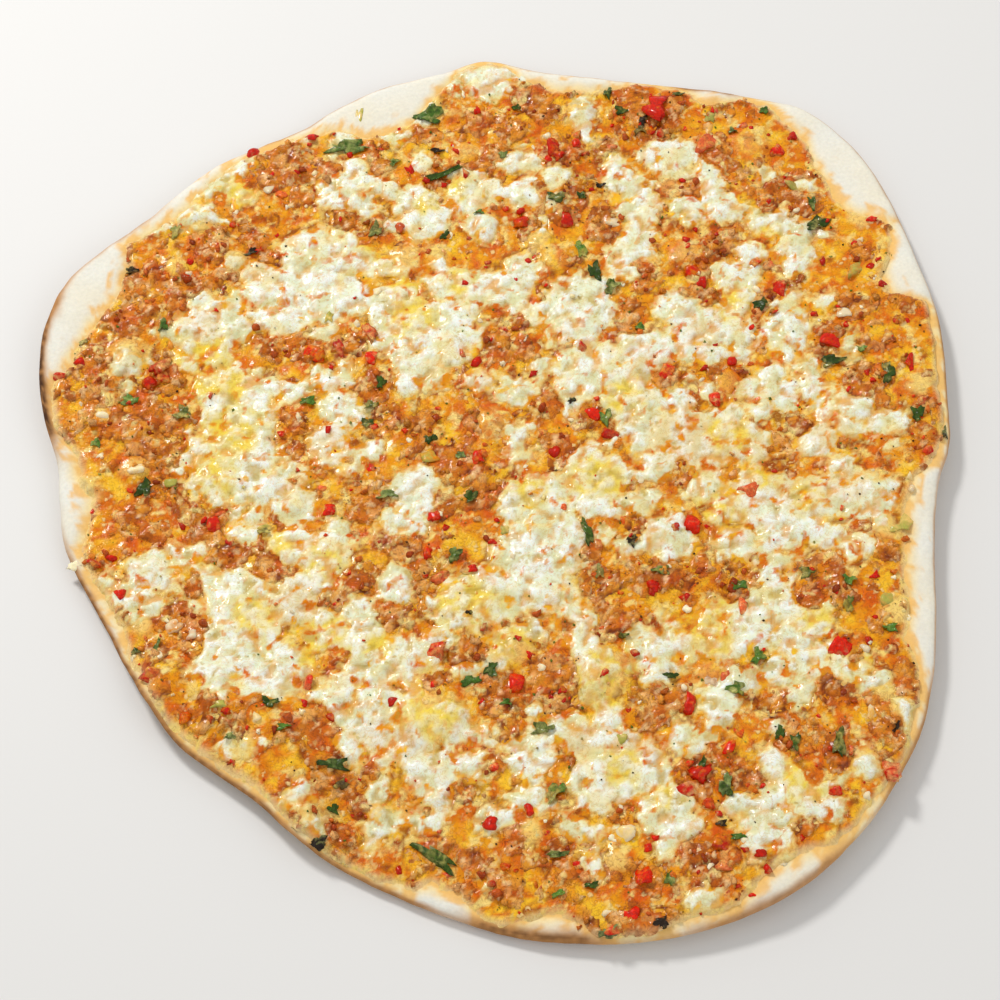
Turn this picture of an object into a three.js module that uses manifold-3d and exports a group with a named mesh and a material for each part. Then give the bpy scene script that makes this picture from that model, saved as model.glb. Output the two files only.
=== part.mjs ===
// A baked lahmacun, about 28 by 30 cm: a thin sheet of flatbread, a spread of seasoned minced meat
// and pepper sauce that stops short of the rim, patches of melted cheese, and dice of red pepper,
// slices of green pepper, onion and torn parsley on top.
// Millimetres, +Z up. The origin is on the table, under the middle of the bread's bounding box.
import * as THREE from "three";
import Module from "manifold-3d";
import { mergeVertices } from "three/addons/utils/BufferGeometryUtils.js";

const wasm = await Module();
wasm.setup();

// ---------- driving dimensions ----------

// The stretched dough is not round: these are the corners and flats of its outline, joined by a curve.
const OUTLINE = [
  [138, 20], [137, 0], [131, -18], [128, -40], [125, -66], [119, -90], [106, -112], [88, -131],
  [68, -142.5], [40, -149.3], [10, -148.5], [-10, -143], [-50, -124], [-70, -106], [-91, -90], [-103, -73],
  [-117, -47], [-127, -28], [-131, 0], [-137.5, 22], [-138.3, 45], [-132, 64], [-107, 89], [-88, 109],
  [-60, 124], [-38, 138], [-9, 146.5], [3, 150.2], [15, 145.5], [46, 141], [84, 135], [104, 128],
  [118, 113], [128, 92], [134.5, 65], [138.8, 42],
];
const DOUGH_THICKNESS = 3.2;
const RIM_PUFF = 2.0; // how much thicker a bare, puffed stretch of rim is
const EDGE_ROUNDING = 3.0; // distance over which the rim rounds off
const RIM_LIFT = 3.4; // mean height of the rim's underside over the table
const FLAT_SHARE = 0.55; // the underside lies flat out to this share of the radius

// Bare stretches of rim: [direction, half width, depth] in degrees, degrees and millimetres.
const BARE_RIM = [
  [-18, 18, 10], [-58, 14, 10], [-85, 6, 9], [-97, 5, 7], [-123, 11, 8], [-138, 6, 4], [-152, 9, 7],
  [180, 8, 3], [159, 13, 14], [134, 10, 8], [104, 9, 18], [78, 7, 6], [61, 4, 6], [44, 12, 19],
];
const LEAST_INSET = 2.0; // the spread never quite reaches the edge

// The rim buckled in the oven: the crest of that fold, seen from above.
const BUCKLE_CREST = [[-99, -76], [-78, -79], [-62, -84], [-56, -96], [-58, -112]];
const BUCKLE_HEIGHT = 5.0;
const BUCKLE_WIDTH = 7.0;

const SPREAD_THICKNESS = 1.1;
const CHEESE_THICKNESS = 1.5;
const LEAF_THICKNESS = 0.7;
const GAP = 0.3; // air between two pieces that touch

// Air bubbles in the dough that lift the spread: [x, y, radius].
const BLISTERS = [
  [18, 76, 8], [30, 128, 6], [-113, 38, 6], [-123, -10, 6], [4, -63, 7], [30, -71, 9], [-17, -80, 9],
  [0, 13, 7], [77, -101, 6], [88, 109, 7], [-2, 84, 5], [72, 24, 5],
];
const BLISTER_HEIGHT = 0.3; // of its radius
const LUMP_ROOT = 0.5; // how deep a blister or a crumb is joined into the spread

// Melted cheese. Each patch is one or more pools that ran together: [x, y, half length, half width, turn].
const CHEESE = [
  [[3, 142, 9, 5, 0]],
  [[-42, 101, 13, 9, 80]],
  [[-5, 98, 10, 7, 0]],
  [[58, 108, 14, 7, 0], [45, 100, 9, 7, 90]],
  [[68, 90, 10, 7, 0], [81, 84, 9, 8, 0], [93, 74, 12, 7, 120]],
  [[46, 72, 9, 8, 30]],
  [[-24, 88, 11, 10, 0]],
  [[-60, 66, 22, 11, 15], [-76, 51, 13, 8, 0]],
  [[91, 42, 13, 8, 85]],
  [[62, 51, 15, 10, -25], [76, 62, 8, 7, 0]],
  [[14, 56, 22, 9, -5]],
  [[-24, 44, 15, 13, 60], [-14, 63, 13, 7, 0]],
  [[34, 31, 18, 11, -12]],
  [[-48, 25, 12, 8, 20]],
  [[-84, 24, 22, 13, 95], [-82, -4, 17, 13, 0], [-66, -14, 13, 9, 0]],
  [[60, 10, 18, 12, 10]],
  [[98, 4, 17, 10, 60]],
  [[14, -30, 27, 14, 80], [-8, -46, 14, 10, 0], [30, -8, 13, 9, -20]],
  [[-24, -13, 10, 9, 0]],
  [[82, -28, 18, 10, 80]],
  [[-76, -52, 19, 15, 0], [-53, -64, 13, 9, 90]],
  [[-38, -82, 15, 11, 100], [-22, -99, 13, 8, -20]],
  [[56, -62, 19, 8, 0], [88, -66, 15, 7, -40]],
  [[9, -95, 9, 8, 0]],
  [[34, -103, 19, 11, -35]],
  [[76, -117, 11, 7, 20]],
];

// Red pepper dice, as large as berries: [x, y, length, width, turn].
const RED_PEPPER = [
  [-102, 30, 8, 7, 20], [54, 130, 9, 8, 60], [-78, 113, 6, 5, 10], [110, -105, 7, 6, 70],
  [72, 111, 8, 5, -30], [-19, -64, 7, 5, 0], [5, -75, 8, 6, 70], [55, -106, 9, 5, 75],
  [10, 84, 6, 5, 80], [-5, -1, 6, 4, 0], [102, 34, 8, 4, 15], [66, 64, 7, 5, 60],
];
const PEPPER_HEIGHT = 3.2;

const GREEN_PEPPER = [[120, -27, 8, 5, 80], [104, 81, 8, 5, 55]];
const ONION = [[-92, 84, 7, 6, 20], [-92, -56, 6, 4, 40]];

// Torn parsley leaves: [x, y, length, width, turn].
const PARSLEY = [
  [-22, 124, 12, 7, -10], [-48, 113, 12, 5, 5], [33, 66, 14, 4, -65], [20, 94, 7, 5, -30],
  [-16, -127, 12, 5, -35], [-48, -98, 9, 5, -5], [96, -96, 9, 4, 65], [119, 22, 8, 5, -75],
  [-104, -11, 6, 5, 0], [26, -27, 9, 3, -70],
];

// The minced meat that shows: crumbs laid out on a sunflower spiral.
const CRUMB_COUNT = 130; // places on the spiral, before those under other toppings are left out
const CRUMB_RADIUS = 2.7;

const SPOKES = 56;
const SPREAD_RINGS = [0, 0.15, 0.32, 0.47, 0.6, 0.71, 0.81, 0.9, 0.96, 1];
const RIM_RINGS = [1.4, 1.8, 2];
const UNDER_RINGS = [0, 0.32, 0.6, 0.71, 0.81, 0.9, 1, 1.7, 2];

// ---------- the bread's form ----------

const { clamp, degToRad: radians, euclideanModulo, seededRandom, smoothstep } = THREE.MathUtils;

// Distance from the origin to the outline in a direction, by walking the outline's curve once.
const outlineCurve = new THREE.CatmullRomCurve3(
  OUTLINE.map(([x, y]) => new THREE.Vector3(x, y, 0)), true, "centripetal",
);
const outlinePoints = outlineCurve.getSpacedPoints(720);

function rimRadius(angle) {
  const away = new THREE.Vector2(Math.cos(angle), Math.sin(angle));
  let best = 0;
  for (let i = 0; i < outlinePoints.length - 1; i++) {
    const [p, q] = [outlinePoints[i], outlinePoints[i + 1]];
    const [sideP, sideQ] = [away.cross(p), away.cross(q)];
    if (sideP > 0 === sideQ > 0) continue;
    const at = sideP / (sideP - sideQ);
    const reach = away.x * (p.x + at * (q.x - p.x)) + away.y * (p.y + at * (q.y - p.y));
    best = Math.max(best, reach);
  }
  return best;
}

// How bare the rim is in a direction: the depth in millimetres of its uncovered dough.
function bareDepth(angle) {
  let depth = 0;
  for (const [direction, halfWidth, full] of BARE_RIM) {
    const turn = Math.abs(euclideanModulo(angle - radians(direction) + Math.PI, 2 * Math.PI) - Math.PI);
    const fullWidth = radians(1.1 * halfWidth);
    depth = Math.max(depth, full * (1 - smoothstep(turn, 0.5 * fullWidth, fullWidth)));
  }
  return depth;
}

const insetAt = (angle) => Math.max(LEAST_INSET, bareDepth(angle));

function distanceToCrest(x, y) {
  const point = new THREE.Vector3(x, y, 0);
  let nearest = Infinity;
  for (let i = 0; i < BUCKLE_CREST.length - 1; i++) {
    const line = new THREE.Line3(
      new THREE.Vector3(...BUCKLE_CREST[i], 0), new THREE.Vector3(...BUCKLE_CREST[i + 1], 0),
    );
    nearest = Math.min(nearest, line.closestPointToPoint(point, true, new THREE.Vector3()).distanceTo(point));
  }
  return nearest;
}

// Height of the underside over the table, before the rim rounds off: flat in the middle, wavy outside.
function liftAt(x, y, rim) {
  const angle = Math.atan2(y, x);
  const outside = smoothstep(Math.hypot(x, y) / rim, FLAT_SHARE, 1);
  const wave = RIM_LIFT + 1.9 * Math.sin(2 * angle + 2.2) + 1.2 * Math.sin(5 * angle + 0.4);
  const buckle = BUCKLE_HEIGHT * Math.exp(-((distanceToCrest(x, y) / BUCKLE_WIDTH) ** 2));
  return outside * wave + smoothstep(outside, 0, 0.25) * buckle;
}

// Half the dough's thickness. It thins to nothing at the rim along a quarter of an ellipse.
function halfThickness(x, y, rim) {
  const fromEdge = rim - Math.hypot(x, y);
  const bare = bareDepth(Math.atan2(y, x));
  const puff = bare > LEAST_INSET ? RIM_PUFF * (1 - smoothstep(fromEdge, 0.5 * bare, 1.1 * bare)) : 0;
  const rounding = Math.sqrt(1 - (1 - clamp(fromEdge / EDGE_ROUNDING, 0, 1)) ** 2);
  return 0.5 * (DOUGH_THICKNESS + puff) * rounding;
}

const middleAt = (x, y, rim) => liftAt(x, y, rim) + 0.5 * DOUGH_THICKNESS;
const doughTop = (x, y, rim) => middleAt(x, y, rim) + halfThickness(x, y, rim);
const doughUnderside = (x, y, rim) =>
  middleAt(x, y, rim) - Math.min(halfThickness(x, y, rim), 0.5 * DOUGH_THICKNESS);

// ---------- making closed solids ----------

// The spokes' directions, with the rim's and the spread's reach along each.
const spokes = Array.from({ length: SPOKES }, (_, i) => {
  const angle = (2 * Math.PI * i) / SPOKES;
  const rim = rimRadius(angle);
  return { angle, rim, spread: rim - insetAt(angle) };
});

// A ring number up to 1 is a share of the spread's reach; from 1 to 2 it runs on to the rim.
function placeOnSpoke({ angle, rim, spread }, ring) {
  const radius = ring <= 1 ? ring * spread : spread + (ring - 1) * (rim - spread);
  return [radius * Math.cos(angle), radius * Math.sin(angle)];
}

// One face of a sheet: a fan round the middle and quads outside it, all split the same way.
function addFace(positions, rings, heightAt, facesUp) {
  const start = positions.length;
  positions.push(0, 0, heightAt(0, 0, spokes[0], 0));
  for (const ring of rings.slice(1)) {
    for (const spoke of spokes) {
      const [x, y] = placeOnSpoke(spoke, ring);
      positions.push(x, y, heightAt(x, y, spoke, ring));
    }
  }
  const middle = start / 3;
  const corner = (ring, spoke) => middle + 1 + (ring - 1) * SPOKES + (spoke % SPOKES);
  const triangles = [];
  for (let i = 0; i < SPOKES; i++) {
    triangles.push([middle, corner(1, i), corner(1, i + 1)]);
    for (let k = 1; k < rings.length - 1; k++) {
      triangles.push([corner(k, i), corner(k + 1, i), corner(k + 1, i + 1)]);
      triangles.push([corner(k, i), corner(k + 1, i + 1), corner(k, i + 1)]);
    }
  }
  return facesUp ? triangles : triangles.map(([a, b, c]) => [a, c, b]);
}

// A closed sheet whose two faces meet at the outermost ring.
function sheet(topRings, topAt, underRings, underAt) {
  const positions = [];
  const triangles = addFace(positions, topRings, topAt, true);
  triangles.push(...addFace(positions, underRings, underAt, false));
  return geometryOf(positions, triangles);
}

function geometryOf(positions, triangles) {
  const geometry = new THREE.BufferGeometry();
  geometry.setAttribute("position", new THREE.Float32BufferAttribute(positions, 3));
  return geometry.setIndex(triangles.flat());
}

// A closed slab from its plan: points [x, y, top, underside], triangles that face up, and the points
// round its edge, counterclockwise. Both faces are split into the same triangles.
function slab(points, triangles, edge) {
  const positions = [
    ...points.flatMap(([x, y, top]) => [x, y, top]),
    ...points.flatMap(([x, y, , underside]) => [x, y, underside]),
  ];
  const below = (point) => points.length + point;
  const faces = [...triangles, ...triangles.map(([a, b, c]) => [below(a), below(c), below(b)])];
  edge.forEach((a, i) => {
    const b = edge[(i + 1) % edge.length];
    faces.push([a, below(a), below(b)], [a, below(b), b]);
  });
  return geometryOf(positions, faces);
}

function toSolid(geometry) {
  const bare = geometry.clone();
  bare.deleteAttribute("normal");
  bare.deleteAttribute("uv");
  const merged = mergeVertices(bare, 1e-3);
  return new wasm.Manifold(new wasm.Mesh({
    numProp: 3,
    vertProperties: merged.attributes.position.array,
    triVerts: new Uint32Array(merged.index.array),
  }));
}

function toGeometry(solid) {
  const { vertProperties, triVerts } = solid.getMesh();
  const geometry = new THREE.BufferGeometry();
  geometry.setAttribute("position", new THREE.BufferAttribute(vertProperties, 3));
  geometry.setIndex(new THREE.BufferAttribute(triVerts, 1));
  geometry.computeVertexNormals();
  return geometry;
}

// The largest body of a solid, without the scraps that a cut can leave.
const mainBody = (solid) => solid.decompose().reduce((a, b) => (a.volume() > b.volume() ? a : b));

const lahmacun = new THREE.Group();

function addNode(name, geometry, color, roughness) {
  const material = new THREE.MeshStandardMaterial({ color, roughness, metalness: 0, side: THREE.DoubleSide });
  const mesh = new THREE.Mesh(geometry, material);
  mesh.name = name;
  lahmacun.add(mesh);
  return mesh;
}

// Height of the highest of some meshes at a place, found by looking straight down.
const down = new THREE.Vector3(0, 0, -1);
function heightOver(meshes, x, y) {
  const eye = new THREE.Raycaster(new THREE.Vector3(x, y, 100), down);
  const hits = eye.intersectObjects(meshes, false);
  return hits.length ? hits[0].point.z : null;
}

const numbered = (name, index) => `${name}_${String(index + 1).padStart(2, "0")}`;

// A piece's own x and y, turned and moved to its place.
function placed(x, y, [placeX, placeY], turn) {
  const [c, s] = [Math.cos(radians(turn)), Math.sin(radians(turn))];
  return [placeX + c * x - s * y, placeY + s * x + c * y];
}

// Cuts a piece that was set a little too deep by what it lies on.
const seatOn = (solid, below) => mainBody(below.reduce((s, b) => s.subtract(b), solid));

// ---------- flatbread ----------

const breadGeometry = sheet(
  [...SPREAD_RINGS, ...RIM_RINGS],
  (x, y, spoke, ring) => (ring === 2 ? middleAt(x, y, spoke.rim) : doughTop(x, y, spoke.rim)),
  UNDER_RINGS,
  (x, y, spoke, ring) => (ring === 2 ? middleAt(x, y, spoke.rim) : doughUnderside(x, y, spoke.rim)),
);
const bread = addNode("flatbread", breadGeometry, 0xeedfb8, 0.8);

// ---------- meat spread, with its blisters and crumbs ----------

// Baked thickness: uneven, and feathered out to nothing where the spread ends.
function spreadThickness(x, y, ring) {
  const uneven = 1 + 0.25 * Math.sin(x / 7 + 1) * Math.sin(y / 9) + 0.15 * Math.sin(x / 4 - y / 5);
  return SPREAD_THICKNESS * uneven * Math.sqrt(1 - ring ** 4);
}

const spreadGeometry = sheet(
  SPREAD_RINGS,
  (x, y, spoke, ring) => doughTop(x, y, spoke.rim) + GAP + spreadThickness(x, y, ring),
  SPREAD_RINGS,
  (x, y, spoke) => doughTop(x, y, spoke.rim) + GAP,
);
const plainSpread = new THREE.Mesh(spreadGeometry);

// Whether a crumb there would touch cheese, pepper, onion or parsley.
function isCovered(x, y, clearance) {
  const pieces = [...RED_PEPPER, ...GREEN_PEPPER, ...ONION, ...PARSLEY];
  if (pieces.some(([px, py, length]) => Math.hypot(x - px, y - py) < 0.6 * length + clearance)) return true;
  return CHEESE.flat().some(([px, py, halfLength, halfWidth, turn]) => {
    const [along, across] = placed(x - px, y - py, [0, 0], -turn);
    return Math.hypot(along / (1.2 * halfLength + clearance), across / (1.2 * halfWidth + clearance)) < 1;
  });
}

// A lump's lower side is pressed flat, so that it keeps within the spread it is joined to.
function pressedFlat(lump) {
  const corners = lump.attributes.position;
  for (let i = 0; i < corners.count; i++) corners.setZ(i, Math.max(corners.getZ(i), -LUMP_ROOT));
  return lump;
}

function blister([x, y, radius]) {
  const dome = pressedFlat(new THREE.IcosahedronGeometry(radius, 1).scale(1, 1, BLISTER_HEIGHT));
  return toSolid(dome.translate(x, y, heightOver([plainSpread], x, y)));
}

function crumb(index) {
  const share = Math.sqrt((index + 0.5) / CRUMB_COUNT);
  const angle = index * Math.PI * (3 - Math.sqrt(5));
  const reach = share * (rimRadius(angle) - insetAt(angle) - CRUMB_RADIUS);
  const [x, y] = [reach * Math.cos(angle), reach * Math.sin(angle)];
  const radius = CRUMB_RADIUS * (0.75 + 0.5 * seededRandom());
  const [turnX, turnZ, stretch] = [seededRandom(), seededRandom(), 1 + 0.5 * seededRandom()];
  const underBlister = BLISTERS.some(([bx, by, br]) => Math.hypot(x - bx, y - by) < br + radius);
  if (underBlister || isCovered(x, y, 1.3 * radius)) return null;
  const lump = new THREE.IcosahedronGeometry(radius, 0);
  lump.rotateX(turnX * Math.PI).scale(stretch, 1, 0.75).rotateZ(turnZ * 2 * Math.PI);
  return toSolid(pressedFlat(lump).translate(x, y, heightOver([plainSpread], x, y)));
}

// The two sheets again, filled down to well below the table: what the toppings are cut by.
const BELOW_TABLE = -10;
const filledBread = toSolid(sheet(
  [...SPREAD_RINGS, ...RIM_RINGS],
  (x, y, spoke, ring) => (ring === 2 ? middleAt(x, y, spoke.rim) : doughTop(x, y, spoke.rim)),
  [0, 1, 1.999, 2],
  (x, y, spoke, ring) => (ring === 2 ? middleAt(x, y, spoke.rim) : BELOW_TABLE),
));
const filledSpread = toSolid(sheet(
  SPREAD_RINGS,
  (x, y, spoke, ring) => doughTop(x, y, spoke.rim) + GAP + spreadThickness(x, y, ring),
  [0, 0.5, 0.999, 1],
  (x, y, spoke, ring) => (ring === 1 ? doughTop(x, y, spoke.rim) + GAP : BELOW_TABLE),
));

seededRandom(11);
const crumbs = Array.from({ length: CRUMB_COUNT }, (_, i) => crumb(i)).filter(Boolean);
const lumps = [...BLISTERS.map(blister), ...crumbs];
const withLumps = (solid) => lumps.reduce((s, lump) => s.add(lump), solid);
const spread = addNode(
  "meat_spread",
  toGeometry(mainBody(withLumps(toSolid(spreadGeometry)).subtract(filledBread.translate(0, 0, 0.5 * GAP)))),
  0xc9742a,
  0.5,
);
const ground = withLumps(filledSpread.add(filledBread)).translate(0, 0, GAP);

// ---------- melted cheese ----------

const POOL_SIDES = 12;
const POOL_RINGS = [0, 0.65, 1];
const POOL_DEPTH = 0.9; // how deep a pool is set before its underside is cut to what it lies on
const POOL_EDGE = 0.5; // height of its edge

// One pool of cheese: a low pad with an uneven round edge that follows what it lies on. It can be
// grown by a margin, to cut what lies against it.
function pool([x, y, halfLength, halfWidth, turn], margin = 0) {
  const points = [];
  const triangles = [];
  const corner = (ring, side) => ring * POOL_SIDES + (side % POOL_SIDES);
  POOL_RINGS.forEach((share, ring) => {
    const rise = margin + POOL_EDGE + (CHEESE_THICKNESS - POOL_EDGE) * Math.sqrt(1 - share ** 2);
    for (let side = 0; side < POOL_SIDES; side++) {
      const angle = (2 * Math.PI * side) / POOL_SIDES;
      const reach = share * (1 + 0.1 * Math.sin(3 * angle + x) + 0.07 * Math.sin(5 * angle + y));
      const along = reach * (halfLength + margin) * Math.cos(angle);
      const across = reach * (halfWidth + margin) * Math.sin(angle);
      const [px, py] = placed(along, across, [x, y], turn);
      const base = heightOver([spread, bread], px, py) ?? doughTop(px, py, rimRadius(Math.atan2(py, px)));
      points.push([px, py, base + rise, base - POOL_DEPTH]);
      const inner = corner(ring - 1, side);
      const outer = [corner(ring, side), corner(ring, side + 1)];
      if (ring > 0) triangles.push([inner, ...outer]);
      if (ring > 1) triangles.push([inner, outer[1], corner(ring - 1, side + 1)]);
    }
  });
  const edge = Array.from({ length: POOL_SIDES }, (_, side) => corner(POOL_RINGS.length - 1, side));
  return toSolid(slab(points, triangles, edge));
}

const poolsTogether = (pools, margin) => pools.map((entry) => pool(entry, margin)).reduce((a, b) => a.add(b));
const grownPatches = CHEESE.map((pools) => poolsTogether(pools, GAP));
const cheeses = CHEESE.map((pools, i) => {
  const seated = seatOn(poolsTogether(pools, 0), [ground, ...grownPatches.slice(0, i)]);
  return addNode(numbered("melted_cheese", i), toGeometry(seated), 0xe6e0ae, 0.45);
});

// ---------- pepper and onion ----------

// A cut die with softened corners, set a little into the topping and then seated on it.
function die([x, y, length, width, turn], height) {
  const box = new THREE.BoxGeometry(length, width, height, 2, 2, 1);
  const corners = box.attributes.position;
  for (let i = 0; i < corners.count; i++) {
    const [cx, cy] = [corners.getX(i) / (length / 2), corners.getY(i) / (width / 2)];
    const pinch = 1 - 0.17 * Math.abs(cx * cy) + 0.05 * Math.sin(3 * cx + 2 * cy + x);
    corners.setX(i, corners.getX(i) * pinch);
    corners.setY(i, corners.getY(i) * pinch);
  }
  box.rotateZ(radians(turn));
  box.translate(x, y, heightOver([spread, ...cheeses, bread], x, y) + 0.5 * height - 0.8);
  return toSolid(box);
}

function addDice(name, list, height, color) {
  list.forEach((entry, i) => {
    const solid = seatOn(die(entry, height), [ground, ...grownPatches]);
    addNode(numbered(name, i), toGeometry(solid), color, 0.3);
  });
}

addDice("red_pepper", RED_PEPPER, PEPPER_HEIGHT, 0xc8201a);
addDice("green_pepper", GREEN_PEPPER, 2.6, 0x9a9a3c);
addDice("onion", ONION, 2.4, 0xe8dcc0);

// ---------- parsley ----------

const LEAF_STEPS = 5;
const LEAF_CLEARANCE = 0.7; // a leaf lies loosely on what is under it

// A torn leaf: a thin lobed strip that follows what it lies on, three points wide.
function leaf([x, y, length, width, turn]) {
  const points = [];
  const triangles = [];
  const corner = (step, side) => 3 * step + side;
  for (let step = 0; step <= LEAF_STEPS; step++) {
    const along = step / LEAF_STEPS;
    const lobe = 0.35 + 0.65 * Math.sin(Math.PI * along) + 0.18 * Math.sin(9 * along + x);
    for (const side of [0, 1, 2]) {
      const [px, py] = placed((along - 0.5) * length, 0.5 * (side - 1) * width * lobe, [x, y], turn);
      const ripple = 0.35 * (1 + Math.sin(5 * along + side));
      const underside = heightOver([spread, ...cheeses, bread], px, py) + LEAF_CLEARANCE + ripple;
      points.push([px, py, underside + LEAF_THICKNESS, underside]);
      if (step === 0 || side === 2) continue;
      const [near, far] = [corner(step - 1, side), corner(step, side)];
      triangles.push([near, far, far + 1], [near, far + 1, near + 1]);
    }
  }
  const steps = Array.from({ length: LEAF_STEPS + 1 }, (_, step) => step);
  const edge = [
    ...steps.map((step) => corner(step, 0)),
    corner(LEAF_STEPS, 1),
    ...steps.reverse().map((step) => corner(step, 2)),
    corner(0, 1),
  ];
  return toSolid(slab(points, triangles, edge));
}

PARSLEY.forEach((entry, i) => {
  const solid = seatOn(leaf(entry), [ground, ...grownPatches]);
  addNode(numbered("parsley", i), toGeometry(solid), 0x3c6a2c, 0.55);
});

// The outline's points are measured from near the middle: this puts the bounding box's middle there.
const middle = new THREE.Box3().setFromObject(lahmacun).getCenter(new THREE.Vector3());
lahmacun.position.set(-middle.x, -middle.y, 0);

export default lahmacun;
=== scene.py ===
from functools import cache

import bpy
import numpy as np
from mathutils import Matrix, Vector
from mathutils.bvhtree import BVHTree


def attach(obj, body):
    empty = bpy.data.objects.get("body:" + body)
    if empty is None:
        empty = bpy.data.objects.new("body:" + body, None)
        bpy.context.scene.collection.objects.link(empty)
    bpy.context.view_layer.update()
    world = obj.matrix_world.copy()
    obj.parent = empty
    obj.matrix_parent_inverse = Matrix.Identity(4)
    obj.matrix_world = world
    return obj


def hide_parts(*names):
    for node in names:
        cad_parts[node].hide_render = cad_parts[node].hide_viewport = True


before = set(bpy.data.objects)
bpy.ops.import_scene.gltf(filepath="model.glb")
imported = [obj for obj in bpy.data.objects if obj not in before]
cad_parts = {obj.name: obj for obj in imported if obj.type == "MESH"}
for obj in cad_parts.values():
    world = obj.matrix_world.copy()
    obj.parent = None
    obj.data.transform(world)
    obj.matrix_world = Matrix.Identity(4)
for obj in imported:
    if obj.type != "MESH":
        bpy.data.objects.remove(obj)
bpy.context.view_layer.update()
MM = 0.001

# ------------------------------------------------------------------------------------------
# The bread. A ball of soft wheat dough, rolled and pulled by hand into a thin sheet that is
# not quite round, floured and baked on hot stone. The bare rim puffed up, took colour along
# its outer edge, and waves where it lifted off the stone.
# ------------------------------------------------------------------------------------------
DOUGH = 3.2  # thickness, in millimetres like every size below
RIM_PUFF = 1.9
EDGE_ROUND = 3.2
FLOUR_WHITE = (233, 231, 220)
DOUGH_CREAM = (240, 222, 178)
OIL_STAINED = (246, 222, 158)
SAUCE_SMUDGE = (240, 184, 92)
TOASTED = (196, 140, 84)
CHARRED = (62, 38, 28)
NOISE_CELLS = 256  # the noise repeats after this many cells

# How far the sauce stays inside the rim: [direction in degrees, bare dough in millimetres].
BARE_RIM = [
    (0, 2.5), (-4, 4), (-6, 8), (-10, 9), (-15, 8), (-20, 9), (-25, 9), (-29, 9), (-32, 4), (-35, 2.5),
    (-38, 4), (-42, 1.5), (-45, 1.5), (-48, 2), (-52, 2), (-55, 4), (-57, 6), (-60, 9), (-63, 7), (-66, 3),
    (-71, 4), (-75, 1.5), (-80, 1.5), (-84, 8), (-87, 5), (-89, 1.5), (-92, 2), (-95, 7), (-98, 7),
    (-101, 2), (-108, 1.5), (-112, 1.5), (-118, 2), (-125, 2.5), (-131, 2), (-135, 2), (-148, 2), (-153, 4),
    (-161, 4), (-166, 4), (-170, 9), (-174, 10), (-177, 6), (179, 7), (175, 3), (170, 3.5), (167, 9),
    (163, 12), (158, 16), (153, 17), (149, 12), (146, 4), (142, 6), (136, 7), (132, 6), (127, 4), (123, 3),
    (118, 3), (113, 6), (109, 15), (105, 19), (101, 17), (97, 9), (94, 4), (91, 2), (88, 2), (85, 6),
    (82, 7), (76, 7), (72, 4), (69, 1.5), (65, 1.5), (61, 7), (57, 2), (54, 4), (52, 8), (49, 10), (45, 14),
    (42, 16), (39, 17), (36, 13), (32, 4), (29, 7), (26, 13), (23, 12), (20, 3), (14, 2), (10, 3), (5, 2),
]
# Where the edge took colour: [direction, half width in degrees, depth in millimetres, strength].
TOAST = [
    (167, 14, 4.6, 1.0), (150, 14, 3, 0.6), (-150, 22, 2.2, 0.9), (-128, 16, 2.0, 0.9),
    (-107, 12, 1.8, 0.8), (-87, 9, 4.5, 0.9), (-62, 11, 3, 0.7), (-40, 9, 1.8, 0.7), (112, 14, 1.8, 0.65),
    (62, 5, 3, 0.9), (8, 14, 1.2, 0.8), (-20, 14, 1.0, 0.5), (40, 12, 1.6, 0.5), (80, 9, 1.4, 0.6),
    (0, 180, 1.2, 0.4),
]


@cache
def noise_table(seed, layers):
    return np.random.default_rng(seed).random((layers, NOISE_CELLS, NOISE_CELLS))


@cache
def slopes(seed):
    """A table of directions, each a unit slope in x and y."""
    turn = 2 * np.pi * noise_table(seed, 2)[0]
    return np.cos(turn), np.sin(turn)


def cloud(x, y, cell, seed, octaves=1):
    """Smooth noise from 0 to 1 with patches about one cell wide, with no direction of its own."""
    total, weight, sum_of_weights = 0.0, 1.0, 0.0
    cell = 1.25 * cell
    for octave in range(octaves):
        slope_x, slope_y = slopes(seed + octave)
        turn = 2.4 * (seed + octave)
        u = (np.cos(turn) * x + np.sin(turn) * y) / cell + 31.7
        v = (np.cos(turn) * y - np.sin(turn) * x) / cell + 57.3
        i, j = np.floor(u).astype(int), np.floor(v).astype(int)
        u, v = u - i, v - j
        corners = []
        for di, dj in ((0, 0), (1, 0), (0, 1), (1, 1)):
            a, b = (i + di) % NOISE_CELLS, (j + dj) % NOISE_CELLS
            corners.append(slope_x[a, b] * (u - di) + slope_y[a, b] * (v - dj))
        fu, fv = (w**3 * (w * (6 * w - 15) + 10) for w in (u, v))
        near = corners[0] * (1 - fu) + corners[1] * fu
        far = corners[2] * (1 - fu) + corners[3] * fu
        total = total + weight * (0.5 + 0.85 * (near * (1 - fv) + far * fv))
        sum_of_weights += weight
        weight, cell = 0.55 * weight, 0.48 * cell
    return total / sum_of_weights


def torn(x, y, cell, seed, octaves=1):
    """The same noise pushed out of shape, so that its patches have ragged edges."""
    away_x = 1.5 * cell * (cloud(x, y, 1.4 * cell, seed + 5, 2) - 0.5)
    away_y = 1.5 * cell * (cloud(x, y, 1.4 * cell, seed + 7, 2) - 0.5)
    return cloud(x + away_x, y + away_y, cell, seed, octaves)


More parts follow.
